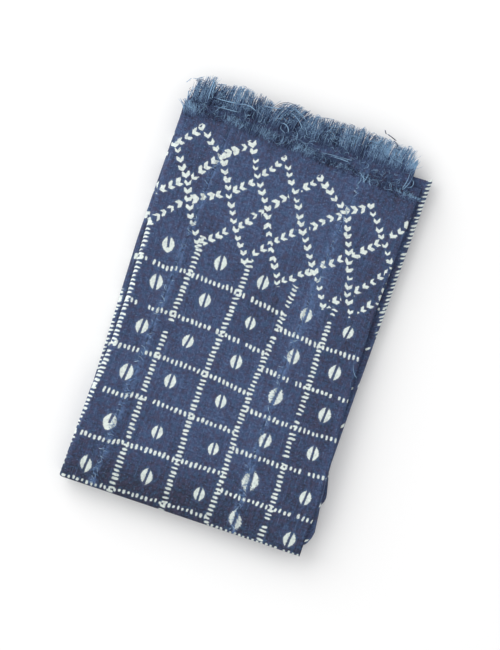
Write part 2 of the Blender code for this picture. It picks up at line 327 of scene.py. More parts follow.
def strip_cuts(index):
    """Cuts through a strip: the knots before and after each, and its share between them."""
    first = float(strip_start(index, np.array(float(MIDDLE_UP)), LAYER_ONE))
    last = float(strip_stop(index, np.array(float(MIDDLE_UP)), LAYER_ONE))
    knots = [knot for knot in range(1, PATH_END) if first < knot < last]
    places = [first] + knots + [last]
    cuts = []
    for number in range(len(places) - 1):
        low, high = places[number], places[number + 1]
        length = float(path_length(high) - path_length(low))
        step = TOP_LEAF_STEP if high <= 1 else LOWER_LEAF_STEP
        count = BEND_STEPS if int(low) % 2 else max(2, round(length / step))
        for part in range(count):
            cuts.append((number, part / count))
    cuts.append((len(places) - 2, 1.0))
    return cuts, knots


def cuts_along(index, cuts, knots, up, part):
    """The path's value at every cut, for arrays whose first axis is the cuts."""
    limits = [strip_start(index, up, part)]
    limits += [knot + 0 * up for knot in knots]
    limits += [strip_stop(index, up, part)]
    numbers = [number for number, share in cuts]
    shares = np.array([share for number, share in cuts]).reshape(-1, *([1] * (up.ndim - 1)))
    low = np.stack([limits[number][row] for row, number in enumerate(numbers)])
    high = np.stack([limits[number + 1][row] for row, number in enumerate(numbers)])
    return low + (high - low) * shares


def frayed_reach(index, part, along):
    """How far up a strip's woven end reaches."""
    strip = STRIPS[index]
    low, high = strip.second_start, strip.second_stop
    if part == LAYER_ONE:
        low, high = strip.first_start, strip.first_stop
    first = float(strip_start(index, np.array(low + BACKING), part))
    last = float(strip_stop(index, np.array(high + BACKING), part))
    return low + (high - low) * (along - first) / (last - first)


def section_points():
    """Part and level of each point: a share of the way up a layer, or an angle in a bend."""
    face = np.linspace(0, 1, FACE_LEVELS)
    hidden = np.linspace(0, 1, HIDDEN_LEVELS)
    angles = np.linspace(0, math.pi, TURN_STEPS + 1)[1:-1]
    runs = ((LAYER_ONE, face[::-1]), (OUTER_BEND, angles), (LAYER_FOUR, hidden), (TOP_BEND, angles),
            (LAYER_THREE, hidden[::-1]), (INNER_BEND, angles), (LAYER_TWO, hidden))
    parts = np.concatenate([np.full(len(levels), part) for part, levels in runs])
    return parts, np.concatenate([levels for part, levels in runs])


def section_places(index, nominal, side):
    """Up and depth of one side of the cloth, for each cut and point of the section."""
    parts, levels = section_points()
    shape = (len(nominal), len(parts))
    low = (on_path(nominal, "bottom") + OUTER_DEPTH + THICKNESS / 2)[:, None]
    high = (on_path(nominal, "top") - INNER_DEPTH - THICKNESS / 2)[:, None]
    up = np.zeros(shape)
    depth = np.zeros(shape)
    for part, facing in FACINGS.items():
        chosen = parts == part
        level = levels[chosen][None, :]
        offset = side * facing * THICKNESS / 2
        if part in LAYER_DEPTHS:
            end = high
            if part in (LAYER_ONE, LAYER_TWO):
                end = frayed_end(index, part, nominal)[:, None]
            up[:, chosen] = low + (end - low) * level
            depth[:, chosen] = LAYER_DEPTHS[part] + offset
            continue
        radius = (OUTER_DEPTH if part == OUTER_BEND else INNER_DEPTH) + offset
        upward = 1 if part == TOP_BEND else -1
        start = 1 if part == OUTER_BEND else -1
        middle = -LAYER_PITCH if part == TOP_BEND else 0
        up[:, chosen] = (high if part == TOP_BEND else low) + upward * radius * np.sin(level)
        depth[:, chosen] = middle + start * radius * np.cos(level)
    return up, depth


Rows = namedtuple("Rows", "across row_f row_e row_d row_c row_b row_a")
# Heights of the rows of ticks on the top leaf, left of its fourth column and right of it
LEFT_ROWS = rows_of(Rows, (
    (0, 3, 48, 96, 142, 189, 233), (37, 3.5, 48, 96, 143, 186, 229),
    (41, 4, 51, 100, 144, 188, 232), (100, 7, 52, 98, 142.5, 186, 229.5),
    (150, 8, 53, 96, 137, 180, 223),
))
RIGHT_ROWS = rows_of(Rows, (
    (152, 1, 37, 80.5, 122, 165, 208), (200, 1, 35.5, 79, 119, 161, 204),
    (250, 1, 37, 82, 120.5, 161, 204),
))
ROW_SPACING = 45.5
# Rows on the leaves below, counted on round the bottom bends
LOWER_FIRST_ROW = 3.0
LOWER_SECOND_ROW = -32.5
LOWER_ROW_SPACING = 41.5
NEAR_ROWS_SHARE = 0.78

Columns = namedtuple("Columns", "up col_0 col_1 col_2 col_3 col_4")
# Places of the columns of ticks on the top leaf, from its fold to its selvedge
COLUMNS = rows_of(Columns, (
    (0, -1.5, 51, 106, 151, 207), (50, 0.5, 51.5, 105, 152.5, 208.5),
    (100, 4.5, 51, 103.5, 151, 205), (150, 7.5, 52, 104, 152.5, 205),
    (200, 6.5, 55, 107.5, 156.5, 203.5), (250, 4, 58, 110.5, 161, 205),
))
COLUMN_SPACING = 50.5
# Height up the packet, and how far past the second fold its column of ticks lies there
SECOND_FOLD_TURNS = ((150, 13), (190, 11), (215, 8), (245, 3.6), (400, 3.0))
# The same for the third fold and the lowest selvedge
THIRD_FOLD_TURN = 4.0
LAST_EDGE_TURN = 9.0

Seed = namedtuple("Seed", "across up tilt size shift rough closed")
# A slit that is open at both ends
OPEN = 20
# The split oval in each cell of the top leaf
SEEDS = rows_of(Seed, (
    (28, 252, 12, 1.0, 0, 0.4, 3), (28.5, 213, 4, 1.05, 0, 0.3, OPEN),
    (29, 167, -4, 1.0, 0.6, 0.4, OPEN), (29, 119, -6, 1.1, 0, 0.3, OPEN),
    (29, 67, -8, 1.1, 0, 0.3, 1.5), (20, 20, -4, 1.0, -2.6, 0.4, OPEN),
    (83, 251, 4, 1.0, 0.8, 0.4, OPEN), (80, 211, 0, 0.95, 0, 0.3, OPEN),
    (77, 167, -12, 0.9, 0, 0.3, OPEN), (73, 124, -2, 0.95, 0, 0.3, OPEN),
    (77, 72, -2, 0.9, 0, 0.3, OPEN), (81, 27, -4, 1.0, -1.3, 0.3, OPEN),
    (129, 246, -2, 0.95, 0, 0.4, OPEN), (130, 204, 0, 0.85, -0.6, 0.4, OPEN),
    (129, 163, 2, 0.95, 0, 0.3, OPEN), (127, 121, 4, 0.9, 0, 0.3, OPEN),
    (135, 74, 2, 0.85, 0.6, 0.3, OPEN), (136, 27, 0, 0.9, 0, 0.3, OPEN),
    (180, 229, -2, 0.95, 0, 0.9, OPEN), (181, 186, 2, 1.0, 0, 0.8, OPEN),
    (177, 143, -8, 1.15, 0, 0.9, OPEN), (181, 98, -6, 1.0, 0.5, 0.8, OPEN),
    (180, 55, 4, 1.3, 1.4, 1.4, OPEN), (178, 14, 0, 1.1, -3.8, 1.3, OPEN),
    (225, 226, -10, 0.85, 0, 0.4, OPEN), (225, 184, -4, 1.0, 0, 0.4, OPEN),
    (229, 141, -4, 1.0, 0, 0.3, OPEN), (230, 101, 2, 0.95, 0, 0.3, OPEN),
    (237, 57, -4, 0.95, 0, 0.3, OPEN), (235, 13, -6, 1.0, 0, 0.4, OPEN),
))
# How far from its middle an oval may be drawn
SEED_REACH = 14.0

Crossing = namedtuple("Crossing", "step level across up")
# Where the chains of the diamond lattice cross on the top leaf: steps across, levels down
CROSSINGS = rows_of(Crossing, (
    (1, 0, 23, 372), (3, 0, 75, 373), (5, 0, 111, 369),
    (7, 0, 150, 362), (9, 0, 206, 352), (11, 0, 252, 350),
    (0, 1, 2, 349), (2, 1, 50, 352), (4, 1, 92, 342),
    (6, 1, 131, 340), (8, 1, 186, 338), (10, 1, 230, 323),
    (1, 2, 26, 318), (3, 2, 69, 320), (5, 2, 110, 318),
    (7, 2, 150, 308), (9, 2, 202, 298), (11, 2, 248, 300),
    (0, 3, 1, 299), (2, 3, 32, 300), (4, 3, 86, 288),
    (6, 3, 123, 286), (8, 3, 173, 274), (10, 3, 213, 259),
    (1, 4, 0, 266), (3, 4, 55, 262), (5, 4, 106, 260),
    (7, 4, 143, 250), (9, 4, 193, 244), (11, 4, 222, 244),
    (12, 3, 246, 266), (13, 2, 264, 290),
))
# The arrowheads' spacing, and how far each chain's numbers are from the next chain's
MARK_PITCH = 8.3
CHAIN_STRIDE = 120 * MARK_PITCH
# How far a chain's marks may lie aside of its line and past its ends
CHAIN_REACH = 6.5
CHAIN_OVERRUN = 3.0
# Lines of crossings start at this level or above it
LAST_STARTING_LEVEL = 2
# The even lattice of the leaves below
STEP_WIDTH = 22.7
LEVEL_DROP = 28.5
LATTICE_TOP = 375
CHAIN_SPACING = 2 * STEP_WIDTH * LEVEL_DROP / math.hypot(STEP_WIDTH, LEVEL_DROP)

BorderPoint = namedtuple("BorderPoint", "across up")
# The grid of ticks ends here and the diamonds start
GRID_TOP = rows_of(BorderPoint, (
    (-5, 268), (58, 271), (112, 263), (161, 253),
    (205, 245), (255, 212),
))

Patch = namedtuple("Patch", "across up radius_across radius_up tone")
# Where the top leaf is darker, below zero, or paler: patches of dye, and painted shade in the dark band
# along the bottom where the cloth curves down over the fold and in the dark spots along the front woven end
# under its yarns
PATCHES = rows_of(Patch, (
    (125, -8, 190, 44, -1.3), (60, 2, 75, 36, -0.35), (215, 12, 40, 34, 0.3),
    (238, 60, 40, 110, -0.4), (238, 240, 30, 110, -0.35), (216, 135, 13, 45, -0.3),
    (247, 140, 4, 90, 0.9), (110, 320, 90, 50, 0.32), (25, 225, 40, 50, 0.15),
    (180, 310, 16, 60, 0.25), (181, 236, 9, 50, 0.7), (90, 110, 60, 60, 0.2),
    (172, 110, 20, 60, 0.3), (20, 345, 40, 30, -0.2), (225, 372, 50, 16, -0.25),
    (75, 385, 70, 10, -0.1), (191, 375, 9, 8, 1.1), (158, 379, 10, 4, -1.0),
    (206, 379, 8, 4, -1.0), (178, 382, 8, 3, -0.6),
))

Spread = namedtuple("Spread", "across up radius amount")
# Where the lattice's marks are fuller, most of them near the seams
SPREADS = rows_of(Spread, (
    (61, 357, 6, 1.1), (56, 348, 6, 1.2), (63, 338, 5, 0.9), (67, 330, 4, 0.7),
    (43, 342, 7, 0.8), (40, 330, 6, 0.6), (54, 314, 6, 1.4), (38, 304, 5, 1.2),
    (14, 317, 5, 1.2), (77, 369, 6, 1.0), (44, 355, 4, 0.9), (112, 318, 5, 0.9),
    (169, 351, 5, 0.8), (188, 341, 5, 0.9), (193, 321, 6, 0.9), (150, 361, 5, 0.7),
    (160, 358, 4, 0.7), (214, 302, 5, 1.5), (36, 284, 5, 0.7), (174, 272, 5, 0.8),
))


def spread_of(across, up):
    """How much fuller the lattice's marks are at each place, in millimetres."""
    fuller = 0 * across
    for spread in SPREADS:
        away = np.hypot(across - spread.across, up - spread.up) / spread.radius
        fuller = fuller + spread.amount * np.exp(-away ** 2)
    return fuller


def chain_lines(slope):
    """The lattice's lines of crossings that run down to the right, for -1, or down to the left, for 1."""
    lines = {}
    for crossing in sorted(CROSSINGS, key=lambda crossing: crossing.level):
        lines.setdefault(crossing.step + slope * crossing.level, []).append(crossing)
    return [line for line in lines.values() if line[0].level <= LAST_STARTING_LEVEL]


def along_chains(across, up, slope):
    """Distance along and aside of the nearest line of crossings, and the room left beside it."""
    best = np.full(across.shape, 1e9)
    run, aside, room = [np.zeros(across.shape) for _ in range(3)]
    for number, line in enumerate(chain_lines(slope)):
        passed = CHAIN_STRIDE * number
        for here, after in zip(line, line[1:]):
            length = math.hypot(after.across - here.across, after.up - here.up)
            right = (after.across - here.across) / length
            rise = (after.up - here.up) / length
            forward = (across - here.across) * right + (up - here.up) * rise
            sideways = (up - here.up) * right - (across - here.across) * rise
            beyond = np.maximum(0, np.maximum(-forward, forward - length))
            distance = np.hypot(sideways, beyond)
            closer = distance < best
            best = np.where(closer, distance, best)
            run = np.where(closer, passed + forward, run)
            aside = np.where(closer, sideways, aside)
            room = np.where(closer, np.minimum(CHAIN_REACH - distance, CHAIN_OVERRUN - beyond), room)
            passed += length
    return np.stack((run, aside, room), -1)


def straight_chains(length, fall, slope):
    """The same for the even lattice of the leaves below, from its top row of crossings."""
    side = math.hypot(STEP_WIDTH, LEVEL_DROP)
    right = -slope * STEP_WIDTH / side
    down = LEVEL_DROP / side
    run = length * right + fall * down
    aside = length * down - fall * right
    line = np.round(aside / CHAIN_SPACING)
    aside = aside - line * CHAIN_SPACING
    room = np.minimum(CHAIN_REACH - abs(aside), np.minimum(fall, 4 * LEVEL_DROP - fall) + CHAIN_OVERRUN)
    return np.stack((run + CHAIN_STRIDE * line, aside, room), -1)


def phase(value, lines, spacing):
    """Which line a place is at, counted from the first, in steps between the lines."""
    found = (value - lines[0]) / spacing
    for number, line in enumerate(lines):
        after = lines[number + 1] if number + 1 < len(lines) else line + spacing
        found = np.where(value >= line, number + (value - line) / (after - line), found)
    return found


def column_lines(up):
    """Where each column of ticks lies at every height of the top leaf."""
    table = columns_of(COLUMNS, *Columns._fields)
    return [np.interp(up, table[0], places) for places in table[1:]]


def column_phase(along, across, up):
    """Columns counted from the top leaf's selvedge, and onwards over each fold of the bundle."""
    lines = column_lines(up)
    on_top = 4 - phase(across, lines, COLUMN_SPACING)
    ups, turns = np.array(SECOND_FOLD_TURNS).T
    turn = np.interp(up, ups, turns)
    length = path_length(along)
    knots = (
        (PATH_LENGTHS[1], 4 + (lines[0] - leaf_span(0, up)[1]) / COLUMN_SPACING),
        (PATH_LENGTHS[3] + turn, 9.0),
        (PATH_LENGTHS[5] + THIRD_FOLD_TURN, 14.0),
        (PATH_LENGTHS[7] + LAST_EDGE_TURN, 19.0),
    )
    below = 0 * length
    for (first, count), (last, next_count) in zip(knots, knots[1:]):
        value = count + (next_count - count) * (length - first) / (last - first)
        below = np.where(length >= first, value, below)
    return np.where(along <= 1, on_top, below)


def row_phase(table, across, chart_up):
    """Which row of ticks a place is at, counted from the lowest."""
    places = columns_of(table, *Rows._fields)
    lines = [np.interp(across, places[0], heights) for heights in places[1:]]
    return phase(chart_up, lines, ROW_SPACING)


def nearest_seed(across, up):
    """Place from the nearest seed's middle, turned and scaled to it, its room, and its make."""
    best = np.full(across.shape, 1e9)
    place = np.zeros(across.shape + (3,))
    make = np.zeros(across.shape + (3,))
    for seed in SEEDS:
        x = across - seed.across
        y = up - seed.up
        distance = np.hypot(x, y)
        turn = math.radians(seed.tilt)
        closer = distance < best
        best = np.where(closer, distance, best)
        side = (x * math.cos(turn) + y * math.sin(turn)) / seed.size
        rise = (y * math.cos(turn) - x * math.sin(turn)) / seed.size
        here = np.stack((side, rise, SEED_REACH - distance), -1)
        place = np.where(closer[..., None], here, place)
        make = np.where(closer[..., None], (seed.shift, seed.rough, seed.closed), make)
    return place, make


# Less room than any mark needs
NO_ROOM = -20.0
# Marks have their own places up to here on the path, and the plain repeat starts after it
PLACED_TO = 1.45
PLAIN_FROM = 1.6
# Stretches of the path: the lower leaves, and the second and third folds
LOWER_ROWS_FROM = 1.9
SECOND_FOLD_PART = (2.3, 4.2)
SECOND_FOLD_SHOWS = (2.5, 3.9)
THIRD_FOLD_PART = (4.7, 5.6)
# Heights where the ticks end on the lower leaves and at those folds
LOWER_GRID_TOP = 268
HIDDEN_GRID_TOP = 262
SECOND_FOLD_COLUMNS_TOP = 430
SECOND_FOLD_ROWS_TOP = 285
THIRD_FOLD_TICKS = (112, 196)
ROWS_SHORT_OF_COLUMNS = 3
CELLS_TOP = 255
# How the hidden rows stray, and how far each hidden oval lies from its cell's middle
ROW_WANDER = 0.03
CELL_SHIFT_ACROSS = 2.5
CELL_SHIFT_UP = 2.0
# A hidden oval's shift, roughness and slit
HIDDEN_SEED = (0.0, 0.3, OPEN)
# The hidden faces' dye and its swing
HIDDEN_TONE = -0.15
HIDDEN_TONE_SWING = 0.12
# Height and tone: painted shade darkening the face towards its woven end, and on the band behind it painted
# shadow low down under that end, paler higher up
TOP_END_PAINTED_SHADE = ((340, 0.0), (368, 0.05), (378, -0.1), (390, -0.3))
BAND_SHADE_AND_TONE = ((378, -0.45), (388, 0.0), (394, 0.2), (403, 0.3))


def within(along, part):
    """Which places lie inside a stretch of the path."""
    return (along > part[0]) & (along < part[1])


def tone_of(across, up):
    """How much darker or paler the top leaf is at each place: its dye, and painted shade along the bottom
    and the front woven end.
    """
    tone = 0 * across
    for patch in PATCHES:
        away = ((across - patch.across) / patch.radius_across) ** 2
        away = away + ((up - patch.up) / patch.radius_up) ** 2
        tone = tone + patch.tone * np.exp(-away)
    return tone


def chart(along, up, across, parts, run, low):
    """The dyed pattern's coordinates at every point: vectors for the material to read."""
    face_layer = (parts == LAYER_ONE)[None, :]
    near_face = ((parts == LAYER_ONE) | (parts == OUTER_BEND))[None, :]
    bend_first = np.argmax(parts != LAYER_ONE)
    past_bend = np.maximum(run - run[bend_first - 1], 0)[None, :]
    chart_up = np.where(face_layer, up, low - past_bend)
    length = path_length(along)
    fold_start = leaf_span(0, up)[1]
    flat_across = np.where(along <= 1, across, fold_start - (length - PATH_LENGTHS[1]))
    columns = column_phase(along, across, up)
    left_rows = row_phase(LEFT_ROWS, flat_across, chart_up)
    right_rows = row_phase(RIGHT_ROWS, flat_across, chart_up)
    wander = ROW_WANDER * np.sin(length / 60)
    near_rows = (chart_up - LOWER_FIRST_ROW) / (LOWER_FIRST_ROW - LOWER_SECOND_ROW)
    far_rows = (chart_up - LOWER_SECOND_ROW) / LOWER_ROW_SPACING - 1
    lower_rows = np.where(chart_up > LOWER_SECOND_ROW, near_rows, far_rows)
    over_bottom = np.where(chart_up > LOWER_FIRST_ROW, near_rows * NEAR_ROWS_SHARE, lower_rows)
    below = along > LOWER_ROWS_FROM
    left_rows = np.where(below, over_bottom + wander, left_rows)
    right_rows = np.where(below, left_rows, right_rows)
    border_across, border_up = columns_of(GRID_TOP, "across", "up")
    border = np.interp(flat_across, border_across, border_up)
    second_fold = within(along, SECOND_FOLD_PART)
    column_room = np.where(below, LOWER_GRID_TOP - up, border - up)
    column_room = np.where(second_fold, SECOND_FOLD_COLUMNS_TOP - up, column_room)
    row_room = np.where(second_fold, SECOND_FOLD_ROWS_TOP - up, column_room - ROWS_SHORT_OF_COLUMNS)
    visible = near_face | within(along, SECOND_FOLD_SHOWS)
    column_room = np.where(visible, column_room, np.minimum(column_room, HIDDEN_GRID_TOP - up))
    fold_room = np.minimum(THIRD_FOLD_TICKS[1] - up, up - THIRD_FOLD_TICKS[0])
    column_room = np.where(within(along, THIRD_FOLD_PART), fold_room, column_room)
    grid = np.stack((columns, left_rows, right_rows), -1)

    placed = ((along <= PLACED_TO) & near_face)[..., None]
    plain = ((along > PLAIN_FROM) & face_layer)[..., None]
    seed_place, seed_make = nearest_seed(flat_across, chart_up)
    cell = np.floor(columns) * 7.3 + np.floor(left_rows) * 3.1
    cell_side = (columns - np.floor(columns) - 0.5) * COLUMN_SPACING + CELL_SHIFT_ACROSS * np.sin(cell)
    cell_rise = (left_rows - np.floor(left_rows) - 0.5) * ROW_SPACING + CELL_SHIFT_UP * np.sin(cell * 2.3)
    cell_room = SEED_REACH - np.hypot(cell_side, cell_rise)
    cell_room = np.where((up < CELLS_TOP) & plain[..., 0], cell_room, NO_ROOM)
    seeds = np.where(placed, seed_place, np.stack((cell_side, cell_rise, cell_room), -1))
    seed_make = np.where(placed, seed_make, HIDDEN_SEED)

    chains = []
    for slope in (-1, 1):
        even = straight_chains(length, LATTICE_TOP - chart_up, slope)
        even[..., 2] = np.where(plain[..., 0], even[..., 2], NO_ROOM)
        chains.append(np.where(placed, along_chains(flat_across, chart_up, slope), even))

    hidden_tone = HIDDEN_TONE + HIDDEN_TONE_SWING * np.sin(length / 37)
    tone = np.where(placed[..., 0], tone_of(flat_across, chart_up), hidden_tone)
    top_ups, top_end_shade = np.array(TOP_END_PAINTED_SHADE).T
    band_ups, band_shade = np.array(BAND_SHADE_AND_TONE).T
    # Painted shade towards the face's woven end, and painted shadow of that end on the band behind it
    tone = tone + np.where(face_layer, np.interp(up, top_ups, top_end_shade), 0)
    tone = tone + np.where((parts == LAYER_TWO)[None, :], np.interp(up, band_ups, band_shade), 0)
    fuller = np.where(placed[..., 0], spread_of(flat_across, chart_up), 0)
    rooms = np.stack((column_room, row_room, fuller), -1)
    shade = np.stack((tone, 0 * tone, 0 * tone), -1)
    return {"grid": grid, "seeds": seeds, "seed_make": seed_make, "rooms": rooms, "shade": shade,
            "chain_right": chains[0], "chain_left": chains[1]}


def grid_faces(rows, columns, index, flip):
    """Quads over a grid of vertices, whose numbers index(row, column) gives."""
    row, column = np.meshgrid(np.arange(rows - 1), np.arange(columns - 1), indexing="ij")
    quad = np.stack((
        index(row, column), index(row + 1, column), index(row + 1, column + 1), index(row, column + 1),
    ), -1).reshape(-1, 4)
    return quad[:, ::-1] if flip else quad


def sheet_corners(rows, columns, cuts):
    """Texture corners of a sheet's quads: its runs of columns side by side in a square."""
    row, column = np.meshgrid(np.arange(rows - 1), np.arange(columns - 1), indexing="ij")
    corners = []
    for add_row, add_column in ((0, 0), (1, 0), (1, 1), (0, 1)):
        spot = np.searchsorted(cuts, column, side="right") - 1
        start = cuts[spot]
        share = (column + add_column - start) / (cuts[spot + 1] - start)
        corners.append(np.stack(((row + add_row) / (rows - 1), share, spot), -1))
    return np.stack(corners, 2).reshape(-1, 4, 3)


def mesh_object(name, places, quads, material, attributes, corners):
    """A mesh piece from vertices in metres and quads, with point attributes and a texture map."""
    mesh = bpy.data.meshes.new(name)
    mesh.vertices.add(len(places))
    mesh.vertices.foreach_set("co", places.astype(np.float32).ravel())
    mesh.loops.add(quads.size)
    mesh.loops.foreach_set("vertex_index", quads.astype(np.int32).ravel())
    mesh.polygons.add(len(quads))
    mesh.polygons.foreach_set("loop_start", np.arange(0, quads.size, 4, dtype=np.int32))
    mesh.update(calc_edges=True)
    for key, values in attributes.items():
        layer = mesh.attributes.new(key, "FLOAT_VECTOR", "POINT")
        layer.data.foreach_set("vector", values.astype(np.float32).ravel())
    texture_map = mesh.uv_layers.new(name="OFBake")
    texture_map.data.foreach_set("uv", corners.astype(np.float32).ravel())
    mesh.shade_smooth()
    mesh.materials.append(material)
    piece = bpy.data.objects.new(name, mesh)
    bpy.context.scene.collection.objects.link(piece)
    return piece


# Height of a rim's band in a sheet's texture map
MAP_EDGE = 0.004
# Room beside a seam where a selvedge has none
NO_SEAM_NEAR = 99


def sheet_map(rows, columns, parts):
    """Texture corners of both sides and the four rims of a strip, in the order of its quads."""
    cuts = np.array([0] + [int(np.argmax(parts == part)) for part in (LAYER_FOUR, LAYER_THREE, LAYER_TWO)])
    cuts = np.append(cuts, columns - 1)
    tall = (1 - 6 * MAP_EDGE) / 2
    maps = []
    for side in (0, 1):
        corner = sheet_corners(rows, columns, cuts)
        x = (corner[..., 2] + 0.02 + 0.96 * corner[..., 0]) / 4
        y = 5 * MAP_EDGE + side * (tall + MAP_EDGE) + corner[..., 1] * (tall - MAP_EDGE)
        maps.append(np.stack((x, y), -1))
    for number, (first, second) in enumerate(((2, columns), (2, columns), (rows, 2), (rows, 2))):
        corner = sheet_corners(first, second, np.array((0, second - 1)))
        long_way, short_way = (1, 0) if second > 2 else (0, 1)
        y = (number + 0.2 + 0.6 * corner[..., short_way]) * MAP_EDGE
        maps.append(np.stack((corner[..., long_way], y), -1))
    return maps


def woven_strip(index, material):
    """One strip as a thin closed sheet on its solid's folds, with the pattern's coordinates."""
    strip = STRIPS[index]
    parts, levels = section_points()
    cuts, knots = strip_cuts(index)
    near_top = np.full(len(cuts), float(NEAR_TOP))
    nominal = cuts_along(index, cuts, knots, near_top, LAYER_ONE)
    low = (on_path(nominal, "bottom") + OUTER_DEPTH + THICKNESS / 2)[:, None]
    middle_up, middle_depth = section_places(index, nominal, 0)
    row = len(cuts) // 2
    steps = np.hypot(np.diff(middle_up[row]), np.diff(middle_depth[row]))
    run = np.concatenate(((0,), np.cumsum(steps)))
    places, charts = [], []
    for side in (FACE, BACK):
        up, depth = section_places(index, nominal, side)
        grid_parts = np.broadcast_to(parts[None, :], up.shape)
        along = cuts_along(index, cuts, knots, up, grid_parts)
        place = folded(along, up, depth)
        places.append(place)
        values = chart(along, up, place[..., 0], parts, run, low)
        length = path_length(along)
        first = path_length(strip_start(index, up, grid_parts))
        last = path_length(strip_stop(index, up, grid_parts))
        left_room = length - first if index > 0 else 0 * length + NO_SEAM_NEAR
        right_room = last - length if index < len(SEAMS) else 0 * length + NO_SEAM_NEAR
        values["cloth"] = np.stack((length, run[None, :] + 0 * up, np.minimum(left_room, right_room)), -1)
        charts.append(values)
    rows, columns = places[0].shape[:2]
    each = rows * columns
    stacked = np.concatenate([place.reshape(-1, 3) for place in places])
    attributes = {}
    for key in charts[0]:
        attributes[key] = np.concatenate([values[key].reshape(-1, 3) for values in charts])
    face = grid_faces(rows, columns, lambda r, c: r * columns + c, False)
    back = grid_faces(rows, columns, lambda r, c: each + r * columns + c, True)
    quads = [face, back]
    for row in (0, rows - 1):
        turned = row == 0
        quads.append(grid_faces(2, columns, lambda s, c: s * each + row * columns + c, turned))
    for column in (0, columns - 1):
        turned = column == 0
        quads.append(grid_faces(rows, 2, lambda r, s: s * each + r * columns + column, turned))
    flips = [False, True, True, False, True, False]
    corners = []
    for corner, flip in zip(sheet_map(rows, columns, parts), flips):
        corners.append(corner[:, ::-1] if flip else corner)
    return mesh_object(strip.name + "_cloth", in_metres(stacked), np.concatenate(quads), material,
                       attributes, np.concatenate(corners))


class Graph:
    """Short calls for building one material's nodes."""

    def __init__(self, name):
        self.material = bpy.data.materials.new(name)
        self.material.use_nodes = True
        self.nodes = self.material.node_tree.nodes
        self.links = self.material.node_tree.links
        self.shader = self.nodes["Principled BSDF"]

    def put(self, socket, value):
        """Links another node's output to a socket, or sets the socket to a plain value."""
        if isinstance(value, bpy.types.NodeSocket):
            self.links.new(value, socket)
        else:
            socket.default_value = value

    def math(self, operation, *values):
        node = self.nodes.new("ShaderNodeMath")
        node.operation = operation
        for socket, value in zip(node.inputs, values):
            self.put(socket, value)
        return node.outputs[0]

    def add(self, *values):
        total = values[0]
        for value in values[1:]:
            total = self.math("ADD", total, value)
        return total

    def times(self, first, second):
        return self.math("MULTIPLY", first, second)

    def minus(self, first, second):
        return self.math("SUBTRACT", first, second)

    def over(self, first, second):
        return self.math("DIVIDE", first, second)

    def around(self, value, reach):
        """A number from 0 to 1 as a swing to both sides of zero."""
        return self.times(self.minus(value, 0.5), reach)

    def least(self, *values):
        lowest = values[0]
        for value in values[1:]:
            lowest = self.math("MINIMUM", lowest, value)
        return lowest

    def size(self, value):
        return self.math("ABSOLUTE", value)

    def vector(self, x, y, z):
        node = self.nodes.new("ShaderNodeCombineXYZ")
        for socket, value in zip(node.inputs, (x, y, z)):
            self.put(socket, value)
        return node.outputs[0]

    def attribute(self, name):
        """The three numbers of a point attribute."""
        node = self.nodes.new("ShaderNodeAttribute")
        node.attribute_name = name
        parts = self.nodes.new("ShaderNodeSeparateXYZ")
        self.links.new(node.outputs["Vector"], parts.inputs[0])
        return parts.outputs[0], parts.outputs[1], parts.outputs[2]

    def noise(self, vector, scale, detail=2.0, roughness=0.5):
        node = self.nodes.new("ShaderNodeTexNoise")
        self.put(node.inputs["Vector"], vector)
        node.inputs["Scale"].default_value = scale
        node.inputs["Detail"].default_value = detail
        node.inputs["Roughness"].default_value = roughness
        return node.outputs["Fac"]

    def chance(self, x, y, z):
        """A number and a colour that are fixed for each whole-numbered cell."""
        node = self.nodes.new("ShaderNodeTexWhiteNoise")
        self.put(node.inputs["Vector"], self.vector(x, y, z))
        parts = self.nodes.new("ShaderNodeSeparateXYZ")
        self.links.new(node.outputs["Color"], parts.inputs[0])
        return parts.outputs[0], parts.outputs[1], parts.outputs[2]

    def ramp(self, value, low, high, out_low=0.0, out_high=1.0):
        """A smooth step from one value to another."""
        node = self.nodes.new("ShaderNodeMapRange")
        node.interpolation_type = "SMOOTHSTEP"
        numbers = (value, low, high, out_low, out_high)
        for socket, number in zip(node.inputs, numbers):
            self.put(socket, number)
        return node.outputs[0]

    def mix(self, share, first, second):
        node = self.nodes.new("ShaderNodeMix")
        node.data_type = "RGBA"
        self.put(node.inputs["Factor"], share)
        self.put(node.inputs[6], first)
        self.put(node.inputs[7], second)
        return node.outputs[2]

    def bump(self, height, strength, distance):
        """Relief that only the light shows."""
        node = self.nodes.new("ShaderNodeBump")
        node.inputs["Strength"].default_value = strength
        node.inputs["Distance"].default_value = distance
        self.put(node.inputs["Height"], height)
        self.links.new(node.outputs["Normal"], self.shader.inputs["Normal"])


# The ticks' spacing and half sizes: along their line, and across it in columns and rows
TICK_PITCH = 4.35
TICK_HALF = 1.13
COLUMN_TICK_HALF = 2.35
ROW_TICK_HALF = 1.95
# How much smaller the first fold's column and the lowest row get, and from where to where down the face
FOLD_TICK_HALF = 1.0
LOW_FOLD_FROM = 262.0
LOW_FOLD_TO = 290.0
LAST_ROW_TICK_HALF = 0.7
LAST_ROW_FROM = 354.0
LAST_ROW_TO = 368.0
# The split ovals' half sizes, and their slit's
SEED_HALF_WIDTH = 6.1
SEED_HALF_HEIGHT = 8.0
SLIT_HALF = 1.15
# The arrowheads' half sizes, their turn in each family, and the room kept free at a crossing
MARK_HALF = 3.1
WING_HALF = 3.4
RIGHT_TURN = -0.32
LEFT_TURN = 0.05
CROSSING_ROOM = 5.4
# How soft the marks' edges are, and how sharply a chain is cut off
EDGE_BLUR = 0.38
SHARP = 30.0


